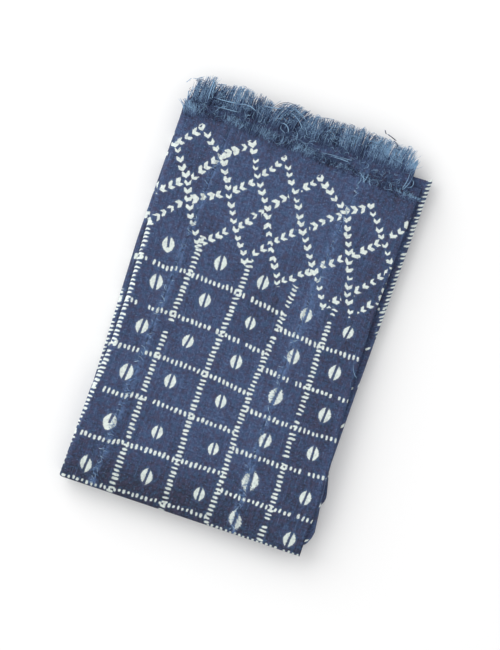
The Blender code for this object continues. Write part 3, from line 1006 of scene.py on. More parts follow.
def ticks(g, lines, spacing, length, half_width, pitch, ragged, key):
    """Short uneven bars across each line of a set of parallel lines."""
    line = g.math("ROUND", lines)
    aside = g.times(g.minus(lines, line), spacing)
    beat = g.add(g.over(length, pitch), g.times(line, 0.37))
    bar = g.math("FLOOR", beat)
    first, second, third = g.chance(line, bar, key)
    fourth, fifth, sixth = g.chance(line, bar, key + 20.0)
    aside = g.add(aside, g.around(first, 1.2))
    forward = g.times(g.minus(g.minus(beat, bar), 0.5), pitch)
    forward = g.add(forward, g.around(second, 0.8))
    forward = g.add(forward, g.times(g.around(fourth, 0.3), aside))
    wide = g.over(g.size(aside), g.add(half_width, g.times(third, 1.1)))
    tall = g.over(g.size(forward), g.add(TICK_HALF - 0.2, g.times(fifth, 0.45)))
    shape = g.add(g.math("POWER", wide, 3.0), g.math("POWER", tall, 2.4))
    room = g.times(g.minus(1.0, shape), 0.75)
    room = g.minus(room, g.times(g.math("LESS_THAN", sixth, 0.04), 9.0))
    return g.add(room, ragged)


def seeds_mark(g, side, rise, room, shift, rough, closed, ragged):
    """Two half-moons with a dark slit between them."""
    slit_end = g.minus(g.times(rise, -1.0), closed)
    rise = g.minus(rise, g.times(g.math("SIGN", side), g.times(shift, 0.5)))
    wide = g.math("POWER", g.over(g.size(side), SEED_HALF_WIDTH), 1.5)
    tall = g.math("POWER", g.over(g.size(rise), SEED_HALF_HEIGHT), 1.8)
    outer = g.times(g.minus(1.0, g.add(wide, tall)), 3.4)
    slit_half = g.add(SLIT_HALF, g.times(tall, 0.45), g.times(rough, 0.3))
    slit = g.math("MAXIMUM", g.minus(g.size(side), slit_half), slit_end)
    whole = g.least(outer, slit, room)
    return g.add(whole, g.times(ragged, g.add(0.6, g.times(rough, 1.5))))


def chain_marks(g, run, aside, room, turn, ragged, key):
    """Blunt arrowheads along one family of the lattice's lines, some of them the other way up."""
    beat = g.add(g.over(run, MARK_PITCH), 0.5)
    mark = g.math("FLOOR", beat)
    first, second, third = g.chance(mark, key, 1.0)
    fourth, fifth, sixth = g.chance(mark, key, 2.0)
    upturned = g.math("LESS_THAN", g.chance(g.math("FLOOR", g.over(mark, 5.0)), key, 3.0)[0], 0.2)
    offset = g.times(g.minus(g.minus(beat, mark), 0.5), MARK_PITCH)
    forward = g.add(offset, g.around(first, 1.8))
    sideways = g.add(aside, g.around(second, 1.8))
    tilt = g.add(turn, g.around(fourth, 0.6))
    ahead = g.add(forward, g.times(tilt, sideways))
    sideways = g.minus(sideways, g.times(tilt, forward))
    ahead = g.times(ahead, g.minus(1.0, g.times(upturned, 2.0)))
    size = g.add(0.82, g.times(third, 0.34))
    ahead = g.over(ahead, size)
    sideways = g.over(sideways, size)
    arm = g.size(sideways)
    point = g.minus(g.minus(MARK_HALF, g.times(arm, 0.75)), ahead)
    notch = g.add(ahead, g.times(fifth, 1.3), g.times(arm, 0.9))
    wing = g.minus(WING_HALF, g.size(g.add(sideways, g.around(sixth, 1.6))))
    ends = g.least(wing, g.add(ahead, MARK_HALF))
    return g.least(g.add(g.least(point, notch, ends), ragged), g.times(room, SHARP)), offset


def clear_of_chain(g, marks, offset, aside, other_aside, other_room):
    """Marks of one family left out where the other family has its own at a crossing."""
    cosine = (LEVEL_DROP ** 2 - STEP_WIDTH ** 2) / (LEVEL_DROP ** 2 + STEP_WIDTH ** 2)
    sine = math.sqrt(1 - cosine * cosine)
    middle = g.minus(g.add(other_aside, g.times(offset, sine)), g.times(aside, cosine))
    past = g.math("MAXIMUM", g.minus(g.size(middle), CROSSING_ROOM), g.times(other_room, -1.0))
    return g.least(marks, g.times(past, SHARP))


# The cloth's colours
# The darkest colour is dye in its mottle, and painted shade where the tone attribute is darkest
DEEP_DYE_AND_SHADE = (0.024, 0.027, 0.045, 1.0)
DYE = (0.048, 0.070, 0.150, 1.0)
PALE_DYE = (0.098, 0.150, 0.290, 1.0)
PURPLE_DYE = (0.060, 0.054, 0.098, 1.0)
GREENER_DYE = (0.044, 0.090, 0.175, 1.0)
SLUB = (0.13, 0.21, 0.38, 1.0)
SPECK = (0.17, 0.27, 0.44, 1.0)
SEAM_THREAD = (0.112, 0.188, 0.36, 1.0)
STAIN = (0.13, 0.20, 0.34, 1.0)
CREAM = (0.67, 0.76, 0.70, 1.0)
WHITE = (0.87, 0.92, 0.89, 1.0)
SHADED_WHITE = (0.42, 0.47, 0.43, 1.0)
SHEEN_TINT = (0.55, 0.65, 0.9, 1.0)
# Dark, body and light colours of the frayed yarns and of the seams' thread
YARN_COLOURS = ((0.020, 0.027, 0.058, 1.0), (0.062, 0.098, 0.195, 1.0), (0.235, 0.385, 0.56, 1.0))
THREAD_COLOURS = ((0.06, 0.11, 0.24, 1.0), (0.12, 0.21, 0.39, 1.0), (0.36, 0.49, 0.62, 1.0))
# Spacing of the weave's yarns
WARP_PITCH = 0.95
WEFT_PITCH = 1.05


def cloth_material():
    """Indigo plain weave with pale resist marks, slubs, and paler threads by the seams."""
    g = Graph("indigo_cloth_weave")
    columns, left_rows, right_rows = g.attribute("grid")
    seed_side, seed_rise, seed_room = g.attribute("seeds")
    seed_shift, seed_rough, seed_closed = g.attribute("seed_make")
    right_run, right_aside, right_room = g.attribute("chain_right")
    left_run, left_aside, left_room = g.attribute("chain_left")
    warp, weft, seam_room = g.attribute("cloth")
    column_room, row_room, fuller = g.attribute("rooms")
    tone = g.attribute("shade")[0]
    flat = g.vector(warp, weft, 0.0)
    lengthwise = g.vector(warp, g.times(weft, 0.06), 3.0)
    crosswise = g.vector(g.times(warp, 0.06), weft, 7.0)

    ragged = g.around(g.noise(flat, 0.8, 2.0, 0.6), 1.8)
    rows = g.nodes.new("ShaderNodeMix")
    g.put(rows.inputs[0], g.math("LESS_THAN", columns, 1.0))
    g.put(rows.inputs[2], left_rows)
    g.put(rows.inputs[3], right_rows)
    at_fold = g.times(g.math("COMPARE", columns, 4.0, 0.5), g.ramp(weft, LOW_FOLD_FROM, LOW_FOLD_TO))
    column_half = g.minus(COLUMN_TICK_HALF, g.times(at_fold, FOLD_TICK_HALF))
    column_marks = ticks(g, columns, COLUMN_SPACING, weft, column_half, TICK_PITCH, ragged, 1.0)
    row_half = g.minus(ROW_TICK_HALF, g.ramp(weft, LAST_ROW_FROM, LAST_ROW_TO, 0.0, LAST_ROW_TICK_HALF))
    row_marks = ticks(g, rows.outputs[0], ROW_SPACING, warp, row_half, TICK_PITCH + 0.15, ragged, 2.0)
    marks = g.math("MAXIMUM", g.least(column_marks, column_room), g.least(row_marks, row_room))
    seeds = seeds_mark(g, seed_side, seed_rise, seed_room, seed_shift, seed_rough, seed_closed, ragged)
    spread = g.add(ragged, fuller)
    right_marks, _ = chain_marks(g, right_run, right_aside, right_room, RIGHT_TURN, spread, 3.0)
    left_marks, offset = chain_marks(g, left_run, left_aside, left_room, LEFT_TURN, spread, 4.0)
    left_marks = clear_of_chain(g, left_marks, offset, left_aside, right_aside, right_room)
    for more in (seeds, right_marks, left_marks):
        marks = g.math("MAXIMUM", marks, more)
    resist = g.ramp(marks, -EDGE_BLUR, EDGE_BLUR)
    stain = g.ramp(marks, -2.4, 0.2, 0.0, 0.25)
    patchy = g.ramp(g.noise(flat, 0.3, 3.0, 0.65), 0.3, 0.58, 0.7, 1.0)
    resist = g.times(resist, patchy)

    streaks = g.noise(lengthwise, 0.9, 3.0, 0.65)
    wide_streaks = g.noise(lengthwise, 0.28, 2.0, 0.5)
    cross_streaks = g.noise(crosswise, 0.8, 2.0, 0.6)
    clouds = g.noise(flat, 0.022, 3.0, 0.55)
    mottle = g.noise(flat, 0.36, 4.0, 0.75)
    fine = g.noise(flat, 1.3, 2.0, 0.7)
    light = g.add(
        g.around(streaks, 2.0), g.around(wide_streaks, 1.2),
        g.around(cross_streaks, 1.3), g.around(clouds, 1.5),
        g.around(mottle, 5.0), g.around(fine, 4.2), tone,
    )
    # Painted shade: the tone attribute pulls the cloth towards its darkest colour at the bottom and along
    # the front woven end
    colour = g.mix(g.ramp(light, -1.35, 0.15), DEEP_DYE_AND_SHADE, DYE)
    colour = g.mix(g.ramp(light, -0.1, 1.5), colour, PALE_DYE)
    hue = g.noise(g.vector(warp, weft, 19.0), 0.2, 4.0, 0.7)
    colour = g.mix(g.ramp(hue, 0.47, 0.62, 0.0, 0.6), colour, PURPLE_DYE)
    colour = g.mix(g.ramp(hue, 0.36, 0.48, 0.5, 0.0), colour, GREENER_DYE)
    slub = g.ramp(g.noise(g.vector(g.times(warp, 0.9), g.times(weft, 0.05), 11.0), 1.0, 2.0), 0.62, 0.74)
    colour = g.mix(g.times(slub, 0.4), colour, SLUB)
    speck = g.ramp(g.noise(flat, 0.7, 1.0, 0.5), 0.64, 0.75)
    colour = g.mix(g.times(speck, 0.6), colour, SPECK)
    seam_light = g.ramp(g.add(seam_room, g.around(streaks, 7.0)), 0.8, 6.4, 1.0, 0.0)
    seam_light = g.times(seam_light, g.ramp(g.noise(flat, 0.14, 4.0, 0.8), 0.42, 0.63))
    seam_light = g.times(seam_light, g.ramp(weft, 10.0, 65.0, 0.25, 1.0))
    colour = g.mix(g.times(seam_light, 0.88), colour, SEAM_THREAD)
    colour = g.mix(stain, colour, STAIN)
    white = g.mix(g.noise(flat, 0.4, 2.0), CREAM, WHITE)
    # Painted shade on the resist marks: they are greyed where the tone is darkest, as at the bottom
    shaded = g.mix(g.ramp(tone, -1.3, -0.3, 0.4, 0.0), white, SHADED_WHITE)
    colour = g.mix(resist, colour, shaded)
    g.put(g.shader.inputs["Base Color"], colour)
    g.put(g.shader.inputs["Roughness"], g.ramp(fine, 0.2, 0.8, 0.85, 0.98))
    g.shader.inputs["Specular IOR Level"].default_value = 0.15
    g.shader.inputs["Sheen Weight"].default_value = 0.04
    g.shader.inputs["Sheen Roughness"].default_value = 0.6
    g.shader.inputs["Sheen Tint"].default_value = SHEEN_TINT

    wobble = g.times(g.noise(flat, 0.35, 2.0), 2.2)
    warp_yarn = g.math("SINE", g.times(g.add(warp, wobble), 2 * math.pi / WARP_PITCH))
    weft_yarn = g.math("SINE", g.times(g.add(weft, wobble), 2 * math.pi / WEFT_PITCH))
    height = g.add(
        g.times(g.times(warp_yarn, weft_yarn), 0.2), g.times(streaks, 0.6),
        g.times(cross_streaks, 0.4), g.times(mottle, 1.1),
    )
    g.bump(height, 0.9, 0.001)
    return g.material


def yarn_material(name, dark, body, light):
    """Spun cotton: each yarn has its own tint, which pales towards its loose end."""
    g = Graph(name)
    share, own, length = g.attribute("yarn")
    twist = g.math("SINE", g.add(g.times(length, 5.0), g.times(own, 60.0)))
    grain = g.noise(g.vector(length, g.times(own, 37.0), 0.0), 0.8, 2.0)
    tip = g.times(g.times(share, share), 0.42)
    root = g.math("POWER", g.minus(1.0, share), 3.0)
    tint = g.add(g.times(own, 0.9), tip, g.times(root, -0.4), g.around(grain, 1.3), 0.1)
    colour = g.mix(g.ramp(tint, 0.05, 0.5), dark, body)
    colour = g.mix(g.ramp(tint, 0.5, 1.15), colour, light)
    g.put(g.shader.inputs["Base Color"], colour)
    g.put(g.shader.inputs["Roughness"], g.ramp(grain, 0.2, 0.8, 0.85, 1.0))
    g.shader.inputs["Specular IOR Level"].default_value = 0.15
    g.bump(twist, 0.4, 0.0003)
    return g.material


def tube_map(count, points, sides):
    """Texture corners of many tubes: each has a narrow upright cell of a square."""
    wide = math.ceil(math.sqrt(count * 12))
    high = math.ceil(count / wide)
    number = np.arange(count)[:, None, None]
    step = np.arange(points - 1)[None, :, None]
    side = np.arange(sides)[None, None, :]
    corners = []
    for add_side, add_step in ((0, 0), (1, 0), (1, 1), (0, 1)):
        x = (number % wide + 0.1 + 0.8 * (side + add_side) / sides) / wide + 0 * step
        y = (number // wide + 0.04 + 0.92 * (step + add_step) / (points - 1)) / high + 0 * side
        corners.append(np.stack((x, y), -1))
    return np.stack(corners, 3).reshape(-1, 4, 2)


def tubes(name, paths, radii, own, material):
    """Many yarns as one mesh: a closed four-sided tube along each path."""
    sides = 4
    count, points = paths.shape[:2]
    forward = np.gradient(paths, axis=1)
    forward /= np.linalg.norm(forward, axis=2, keepdims=True) + 1e-9
    upright = np.array((0.13, 0.21, 1.0))
    first = np.cross(forward, upright)
    first /= np.linalg.norm(first, axis=2, keepdims=True) + 1e-9
    second = np.cross(forward, first)
    angles = 2 * math.pi * np.arange(sides) / sides
    ring = first[:, :, None] * np.cos(angles)[:, None] + second[:, :, None] * np.sin(angles)[:, None]
    places = paths[:, :, None] + ring * radii[:, :, None, None]
    lengths = np.linalg.norm(np.diff(paths, axis=1), axis=2)
    lengths = np.concatenate((np.zeros((count, 1)), np.cumsum(lengths, axis=1)), 1)
    share = lengths / lengths[:, -1:]
    yarn = np.stack((share, own[:, None] + 0 * share, lengths), -1)
    yarn = np.repeat(yarn[:, :, None], sides, axis=2)
    start = (np.arange(count) * points * sides)[:, None, None]
    row = (np.arange(points - 1) * sides)[None, :, None]
    here = np.arange(sides)[None, None, :]
    after = (here + 1) % sides
    quads = np.stack((
        start + row + here, start + row + after, start + row + sides + after, start + row + sides + here,
    ), -1).reshape(-1, 4)
    base = (np.arange(count) * points * sides)[:, None]
    end = base + (points - 1) * sides
    caps = [base + np.array((3, 2, 1, 0)), end + np.array((0, 1, 2, 3))]
    corners = tube_map(count, points, sides)
    cap_corners = np.zeros((2 * count, 4, 2)) + np.array(((0, 0), (1, 0), (1, 1), (0, 1))) * 0.002
    quads = np.concatenate([quads] + caps)
    corners = np.concatenate((corners, cap_corners))
    return mesh_object(name, in_metres(places.reshape(-1, 3)), quads, material,
                       {"yarn": yarn.reshape(-1, 3)}, corners)


Tuft = namedtuple("Tuft", "width gather lean shorter")
# How the loose yarns gather in small bundles
TUFT = Tuft(3.4, 0.28, 1.2, 2.4)

Fringe = namedtuple("Fringe", "part low high pitch radius start short_of wander lift droop light points")
# Sets of yarns: the layer and stretch of path that they leave, then their size, lie and tint
FRINGES = rows_of(Fringe, (
    (LAYER_TWO, 0, 1.02, 0.5, 0.42, 2.0, 3.0, 1.1, -0.1, 3.5, 0.26, 8),
    (LAYER_TWO, 0, 1.02, 0.45, 0.32, 6.0, 3.0, 2.8, 0.45, 4.0, 0.44, 12),
    (LAYER_TWO, 0, 1.02, 0.8, 0.2, 10.0, 5.0, 5.5, 0.9, 3.0, 0.8, 12),
    (LAYER_ONE, 0, 1.02, 0.6, 0.34, 2.5, 9.0, 1.6, 0.1, 1.6, 0.5, 8),
    (LAYER_ONE, 0, 1.02, 0.8, 0.22, 5.0, 9.0, 6.5, 0.6, 1.2, 0.72, 12),
    (LAYER_ONE, 0.96, 1.3, 0.3, 0.3, 7.0, 5.0, 1.6, 0.6, 1.0, 0.75, 9),
    (LAYER_ONE, 1.02, 7, 1.1, 0.45, 2.0, 4.0, 1.3, 0.0, 0.0, 0.45, 6),
    (LAYER_TWO, 1.02, 7, 1.1, 0.45, 2.0, 4.0, 1.3, 0.0, 0.0, 0.45, 6),
))
# How far yarns reach past a hidden woven end, and how those on the first fold lean
HIDDEN_REACH = 13.0
TUFT_LEAN = -6.5

Tip = namedtuple("Tip", "across up lean")
# How far up the yarns reach on the top leaf, and how far they lean aside
BACK_TIPS = rows_of(Tip, (
    (-6, 411, -1), (-3, 416, -1), (3, 417, 0), (11, 423, 1), (17, 427, 2), (20, 424, 2),
    (22, 418.5, 3), (33, 422, 3), (41, 424.5, 2), (53, 425.5, 1), (62, 424, 1),
    (65, 417, 1), (71, 424, 0), (79, 419.5, 2), (83, 417, 4), (88, 424.5, 9),
    (95, 426, 11), (105, 424, 10), (113, 421, 8), (120, 417.5, 4), (124, 421.5, 1),
    (134, 421, 1), (146, 423, 1), (167, 423, 0), (177, 424.5, 1), (182, 421.5, 2),
    (190, 422.5, 2), (206, 421.5, 3), (213, 418.5, 3), (219, 421.5, 3), (227, 420.5, 3),
    (230, 413.5, 3), (235, 411, 2), (240, 404, 1),
))
FRONT_TIPS = rows_of(Tip, (
    (-8, 392, -3), (0, 396, -2), (12, 396, 0), (60, 395, 1), (100, 394, 2), (140, 389, 1),
    (170, 384, 1), (190, 382, 2), (225, 380, 0), (250, 377, 1),
))

LooseYarn = namedtuple("LooseYarn", "across up heading bend length radius light")
# Stray yarns that show in their own places, and where each one heads and bends
LOOSE_YARNS = rows_of(LooseYarn, (
    (22, 405, -4, 14, 26, 0.55, 1.0), (46, 403, 40, -70, 24, 0.5, 1.0),
    (20, 396, 95, -8, 25, 0.6, 1.0), (21, 404, 84, 10, 14, 0.45, 1.0),
    (68, 413, -4, 22, 26, 0.5, 1.0), (85, 411, 72, -130, 34, 0.3, 0.6),
    (88, 410, 66, -120, 33, 0.28, 0.5), (92, 409, 60, -110, 32, 0.3, 0.9),
    (84, 413, 66, -105, 32, 0.26, 0.2), (86, 408, 66, -105, 34, 0.3, 0.95),
    (92.5, 400, 40, -120, 17, 0.5, 1.0), (96, 415, 0, -60, 26, 0.42, 1.0),
    (104, 404, -10, -70, 18, 0.26, 0.7), (110, 412, -20, -50, 20, 0.26, 0.8),
    (24, 396, 6, -2, 28, 0.42, 0.95), (30, 414, 6, -4, 16, 0.25, 0.8),
    (66, 412, 78, 10, 12, 0.22, 0.3), (67.5, 411, 80, 12, 13, 0.22, 0.3),
    (69, 411, 74, -8, 13, 0.22, 0.4), (213.5, 415, 108, 60, 9, 0.5, 0.0),
    (210.4, 421.4, 158, 6, 12, 0.5, 0.0), (198.6, 424.6, 140, -30, 5, 0.45, 0.0),
    (140, 386, 12, -14, 20, 0.32, 0.9), (152, 389, -6, 12, 22, 0.3, 0.85),
    (160, 410, 24, -30, 17, 0.34, 1.0), (176, 412, 10, -12, 20, 0.26, 0.8),
    (196, 404, 6, -20, 26, 0.26, 0.9), (232, 400, -80, -30, 22, 0.36, 0.95),
    (236, 396, -86, -40, 20, 0.34, 0.85), (230, 384, -60, 200, 18, 0.3, 0.8),
    (185, 384, -80, 60, 12, 0.4, 1.0), (190, 383, -100, 50, 12, 0.4, 0.95),
    (194, 384, -84, -40, 13, 0.4, 0.9), (187, 379, -60, -60, 11, 0.36, 0.85),
    (197, 381, -110, 70, 11, 0.36, 0.9), (150, 386, 6, -10, 22, 0.42, 0.95),
    (188, 374, -120, 80, 10, 0.3, 0.7), (-6, 391, -24, 20, 14, 0.3, 0.9),
    (-5, 394, -40, 30, 16, 0.3, 0.8), (240, 203, -96, 60, 20, 0.3, 0.8),
))


def frayed_end(index, part, along):
    """A strip's woven end as it shows: uneven, where weft threads have come away."""
    length = path_length(along)
    ragged = 0.6 * np.sin(length * 1.3 + 3 * part) + 0.5 * np.sin(length * 0.47 + index)
    return frayed_reach(index, part, along) + ragged


def yarn_roots(index, part, pitch, low, high):
    """Places along the path where yarns leave a strip's end, between two values of along."""
    level = frayed_reach(index, part, 0.0)
    first = float(strip_start(index, np.array(float(level)), part))
    last = float(strip_stop(index, np.array(float(level)), part))
    start = float(path_length(max(first, low)))
    stop = float(path_length(min(last, high)))
    if stop - start < pitch:
        return np.zeros(0)
    count = int((stop - start) / pitch)
    lengths = start + (np.arange(count) + 0.5) / count * (stop - start)
    return np.interp(lengths, PATH_LENGTHS, np.arange(PATH_END + 1))


def yarn_paths(index, fringe, chance):
    """Loose warp yarns that leave a woven end, gather in tufts, wander, curl and droop."""
    along = yarn_roots(index, fringe.part, fringe.pitch, fringe.low, fringe.high)
    count = len(along)
    if count == 0:
        return None
    along = along + chance.uniform(-0.002, 0.002, count)
    woven = frayed_end(index, fringe.part, along)
    begin = woven - fringe.start * chance.uniform(0.4, 1.0, count)
    root = folded(along, np.minimum(woven, begin), 0 * along + LAYER_DEPTHS[fringe.part])
    on_top = fringe.low < 1
    lean = 0 * along
    tip = woven + HIDDEN_REACH
    place = root[:, 0]
    if on_top:
        tips = BACK_TIPS if fringe.part == LAYER_TWO else FRONT_TIPS
        across, ups, leans = columns_of(tips, "across", "up", "lean")
        tip = np.interp(place, across, ups)
        lean = np.interp(place, across, leans)
    if fringe.low > 0.9 and on_top:
        lean = TUFT_LEAN * chance.uniform(0.5, 1.2, count)
    spot = place / TUFT.width + 0.6 * np.sin(place / 7.3 + fringe.part)
    tuft = np.floor(spot)
    gather = TUFT.gather * TUFT.width * (tuft + 0.5 - spot)
    sway = TUFT.lean * np.sin(tuft * 2.7 + fringe.part)
    shorter = TUFT.shorter * (0.5 + 0.5 * np.sin(tuft * 4.1 + 2))
    short = fringe.short_of * chance.random(count) ** 1.5
    short = short + np.where(on_top, shorter, 0) * chance.random(count)
    short = short + np.where(chance.random(count) < 0.08, chance.uniform(0, 6, count), 0)
    length = np.maximum(tip - begin - short, 4.0)
    share = np.linspace(0, 1, fringe.points)[None, :]
    lean = lean + gather + sway + fringe.wander * chance.normal(0, 0.45, count)
    curl = chance.normal(0, 0.6, count) * fringe.wander
    turn = chance.uniform(0, 2 * math.pi, count)
    side = lean[:, None] * share ** 1.8 + (curl[:, None] * np.sin(share * 4.2 + turn[:, None])) * share
    up = begin[:, None] + length[:, None] * share
    rise = fringe.lift + chance.normal(0, 0.25, count)[:, None] * share
    rise = rise - fringe.droop * share ** 2 * chance.uniform(0.6, 1.1, count)[:, None]
    if fringe.part == LAYER_ONE and on_top:
        rise = np.maximum(rise, -1.0)
    if on_top:
        rise = rise + THICKNESS * 0.35
    z = np.maximum(root[:, 2, None] + rise, 0.5)
    return np.stack((root[:, 0, None] + side, up, z), -1)


def evenly(paths, points):
    """The same paths, each with a given number of points."""
    old = np.linspace(0, 1, paths.shape[1])
    new = np.linspace(0, 1, points)
    low = np.clip(np.searchsorted(old, new, side="right") - 1, 0, len(old) - 2)
    part = ((new - old[low]) / (old[low + 1] - old[low]))[None, :, None]
    return paths[:, low] * (1 - part) + paths[:, low + 1] * part


Shadow = namedtuple("Shadow", "across radius depth")
# Where the front edge's yarns lie in shade and look darker
SHADOWS = (Shadow(158, 9, 0.55), Shadow(206, 7, 0.6), Shadow(178, 5, 0.3), Shadow(30, 14, 0.15))
# From where to where across the back edge's yarns get brighter, and how much
BRIGHTER_YARNS = ((165, 212), (0, 0.55))
# How much the yarns' own tints differ
YARN_SPREAD = 0.32


def tone_near(shadows, across):
    """How much darker the yarns are at each place."""
    return sum(shadow.depth * np.exp(-((across - shadow.across) / shadow.radius) ** 2) for shadow in shadows)


def fringe_piece(index, part, suffix, material, chance):
    """All the frayed yarns of one strip's end, on every leaf that it crosses."""
    all_paths, all_radii, all_own = [], [], []
    points = max(fringe.points for fringe in FRINGES if fringe.part == part)
    for fringe in FRINGES:
        if fringe.part != part:
            continue
        paths = yarn_paths(index, fringe, chance)
        if paths is None:
            continue
        count = len(paths)
        paths = evenly(paths, points)
        taper = np.interp(np.linspace(0, 1, points), (0, 0.55, 1), (1, 0.9, 0.3))
        thick = fringe.radius * chance.uniform(0.75, 1.2, count)
        patches = 0.27 * np.sin(paths[:, 0, 0] / 6.1) + 0.22 * np.sin(paths[:, 0, 0] / 2.3 + 1)
        bright = np.interp(paths[:, 0, 0], *BRIGHTER_YARNS)
        # Painted shade: the front edge's yarns are darkened where they lie in shadow
        if part == LAYER_ONE:
            bright = -tone_near(SHADOWS, paths[:, 0, 0])
        own = fringe.light + patches + bright + chance.normal(0, YARN_SPREAD, count)
        all_paths.append(paths)
        all_radii.append(thick[:, None] * taper[None, :])
        all_own.append(np.clip(own, 0, 1))
    name = STRIPS[index].name + suffix
    return tubes(name + "_yarns", np.concatenate(all_paths), np.concatenate(all_radii),
                 np.concatenate(all_own), material)


# The front woven edge, as places across and up, and how the yarns lie past it and past the cloth
WOVEN_EDGE = ((0, 388), (40, 387), (180, 378), (250, 372))
CLOTH_TOP = 402.0
STEP_FILL = 0.6
OVERHANG_DROOP = 0.008


def pile_top(across, up):
    """The height of the top leaf's surface, or of the second layer past its woven end."""
    start, stop = leaf_span(0, up)
    along = np.clip((across - start) / (stop - start), 0, 1)
    woven = np.interp(across, *np.array(WOVEN_EDGE, float).T)
    depth = np.where(up > woven, INNER_DEPTH + STEP_FILL, OUTER_DEPTH) + THICKNESS / 2
    height = folded(along, np.minimum(up, CLOTH_TOP), depth)[..., 2]
    return height - np.maximum(up - CLOTH_TOP, 0) ** 2 * OVERHANG_DROOP


# Thread ends strewn over the front and back edges: heights, places across, number and tint
STREWN_THREADS = ((382, 397, 3, 234, 260, 0.5), (402, 421, 4, 228, 400, 0.75))


def loose_threads(material, chance):
    """Fine curled ends over both frayed edges, and the stray yarns that show in their own places."""
    paths, thick, own = [], [], []
    points = 14
    share = np.linspace(0, 1, points)
    for low, high, left, right, count, light in STREWN_THREADS:
        for _ in range(count):
            across = chance.uniform(left, right)
            slant = 0.06 * (MIDDLE_ACROSS - across) if low < 390 else 0.0
            up = chance.uniform(low, high) + slant
            length = chance.uniform(3, 14)
            heading = chance.normal(0, 1.1)
            bend = chance.normal(0, 2.2)
            wave = chance.uniform(0, 6.28)
            angle = heading + bend * (share - 0.5) + 0.5 * np.sin(share * 7 + wave)
            step = length / points
            x = across + np.cumsum(np.cos(angle)) * step - length / 2
            y = up + np.cumsum(np.sin(angle)) * step
            across_tips, up_tips = columns_of(BACK_TIPS, "across", "up")
            y = np.minimum(y, np.interp(x, across_tips, up_tips) - 1 + chance.uniform(-1, 1.5))
            rise = 0.5 + chance.uniform(0, 0.8) + 0.3 * np.sin(share * 5 + wave)
            paths.append(np.stack((x, y, pile_top(x, y) + rise), -1))
            thick.append(chance.uniform(0.13, 0.28))
            own.append(np.clip(light + chance.normal(0, 0.3), 0, 1))
    for yarn in LOOSE_YARNS:
        angle = np.radians(yarn.heading + yarn.bend * share)
        step = yarn.length / points
        x = yarn.across + np.cumsum(np.cos(angle)) * step
        y = yarn.up + np.cumsum(np.sin(angle)) * step
        rise = 1.4 + 0.3 * np.sin(share * 6 + yarn.across)
        paths.append(np.stack((x, y, pile_top(x, y) + rise), -1))
        thick.append(yarn.radius)
        own.append(yarn.light)
    radii = np.array(thick)[:, None] * np.interp(share, (0, 0.1, 0.9, 1), (0.4, 1, 1, 0.4))[None, :]
    return tubes("loose_threads", np.stack(paths), radii, np.array(own), material)


# How far a stitch may stand out below the pile
PRESSED_PROUD = 0.1
# From where to where the stitches run up a seam
STITCHES_FROM = 4.0
STITCHES_TO = 368
# Height up the packet, and how many of the stitches show there
SEAM_KNOTS = ((4, 1.0), (60, 1.0), (90, 0.5), (200, 0.45), (300, 0.7), (345, 0.8), (372, 0.4))


def seam_stitches(material, chance):
    """Rough overcast stitches of paler yarn along the seams that show, above and below."""
    paths = []
    share = np.linspace(0, 1, 7)
    ups, dense = np.array(SEAM_KNOTS).T
    for seam in SEAMS:
        if seam.leaf not in (0, LEAVES - 1):
            continue
        up = STITCHES_FROM
        while up < STITCHES_TO:
            middle = float(seam_along(seam, np.array(up), 0.0))
            half = chance.uniform(0.8, 3.8)
            slant = chance.normal(0.5, 3.0)
            offset = chance.normal(0, 1.6)
            if chance.random() < np.interp(up, ups, dense):
                along = middle + ((share - 0.5) * 2 * half + offset) / PACKET_WIDTH
                rises = up + (share - 0.5) * slant + 0.5 * np.sin(share * 5 + up)
                arch = 0.26 * np.sin(share * math.pi) - 0.12
                paths.append(folded(along, rises, OUTER_DEPTH + THICKNESS / 2 + arch))
            up += chance.uniform(0.5, 2.6)
    paths = np.stack(paths)
    thick = chance.uniform(0.14, 0.36, len(paths))
    radii = thick[:, None] * np.interp(share, (0, 0.2, 0.8, 1), (0.5, 1, 1, 0.5))[None, :]
    paths[..., 2] = np.maximum(paths[..., 2], radii - PRESSED_PROUD)
    return tubes("seam_stitches", paths, radii, chance.random(len(paths)), material)


# The floor lies just below the cloth
FLOOR_SIZE = 12
FLOOR_DROP = 0.0004
FLOOR_GREY = 0.845


def floor():
    """The plain pale surface that the packet lies on."""
    bpy.ops.mesh.primitive_plane_add(size=FLOOR_SIZE, location=(0, 0, -FLOOR_DROP))
    plane = bpy.context.object
    plane.name = "floor"
    g = Graph("pale_floor")
    g.shader.inputs["Base Color"].default_value = (FLOOR_GREY, FLOOR_GREY, FLOOR_GREY, 1.0)
    g.shader.inputs["Roughness"].default_value = 0.9
    g.shader.inputs["Specular IOR Level"].default_value = 0.0
    plane.data.materials.append(g.material)


# The camera's turn, its distance and the height of its view in metres, and what it looks at
CAMERA_TURN = math.radians(18.6)
CAMERA_DISTANCE = 3.0
FRAME_HEIGHT = 0.65
FRAME_MIDDLE = (130.3, 202.1)


def camera():
    """Straight above the packet and turned, as far away as a long lens needs."""
    data = bpy.data.cameras.new("camera")
    data.sensor_width = 36
    data.lens = data.sensor_width * CAMERA_DISTANCE / FRAME_HEIGHT
    data.clip_end = 50
    eye = bpy.data.objects.new("camera", data)
    across, up = FRAME_MIDDLE
    eye.location = ((across - MIDDLE_ACROSS) * MILLIMETRE, (up - MIDDLE_UP) * MILLIMETRE, CAMERA_DISTANCE)
    eye.rotation_euler = (0, 0, CAMERA_TURN)
    bpy.context.scene.collection.objects.link(eye)
    bpy.context.scene.camera = eye


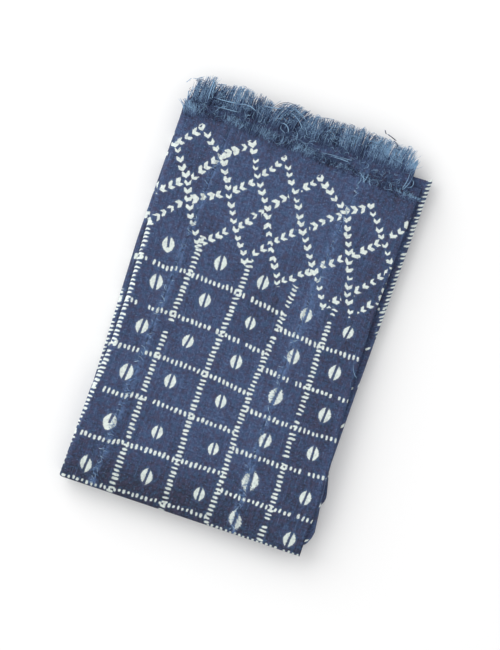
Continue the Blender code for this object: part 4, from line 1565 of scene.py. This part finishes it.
def area_light(name, place, size, power):
    """A square lamp at a place given in the picture's own right, up and towards the eye."""
    data = bpy.data.lights.new(name, "AREA")
    data.size = size
    data.energy = power
    lamp = bpy.data.objects.new(name, data)
    right, rise, height = place
    lamp.location = (
        right * math.cos(CAMERA_TURN) - rise * math.sin(CAMERA_TURN),
        right * math.sin(CAMERA_TURN) + rise * math.cos(CAMERA_TURN),
        height,
    )
    direction = -lamp.location
    lamp.rotation_euler = direction.to_track_quat("-Z", "Y").to_euler()
    bpy.context.scene.collection.objects.link(lamp)


# The lamp's place in metres, its size and its power, and the room's brightness
KEY_PLACE = (-1.9, 1.9, 1.95)
KEY_SIZE = 3.6
KEY_POWER = 91
ROOM_STRENGTH = 0.9


def lighting():
    """A white room and one large soft lamp at the upper left."""
    world = bpy.data.worlds.new("studio")
    world.use_nodes = True
    room = world.node_tree.nodes["Background"]
    room.inputs["Color"].default_value = (1.0, 1.0, 1.0, 1.0)
    room.inputs["Strength"].default_value = ROOM_STRENGTH
    bpy.context.scene.world = world
    area_light("key", KEY_PLACE, KEY_SIZE, KEY_POWER)
    bpy.context.scene.view_settings.view_transform = "Standard"


RANDOM_SEED = 41


def main():
    """Every piece of the cloth, then its floor, camera and light."""
    chance = np.random.default_rng(RANDOM_SEED)
    cloth = cloth_material()
    yarn = yarn_material("frayed_indigo_yarn", *YARN_COLOURS)
    thread = yarn_material("pale_seam_thread", *THREAD_COLOURS)
    for index, strip in enumerate(STRIPS):
        sheet = woven_strip(index, cloth)
        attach(sheet, "root")
        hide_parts(strip.name)
        for part, suffix in ((LAYER_ONE, "_fringe_a"), (LAYER_TWO, "_fringe_b")):
            piece = fringe_piece(index, part, suffix, yarn, chance)
            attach(piece, "root")
            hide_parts(strip.name + suffix)
        up = np.array(float(MIDDLE_UP))
        start = strip_start(index, up, LAYER_ONE)
        stop = strip_stop(index, up, LAYER_ONE)
    for piece in (loose_threads(yarn, chance), seam_stitches(thread, chance)):
        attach(piece, "root")
    floor()
    camera()
    lighting()


main()
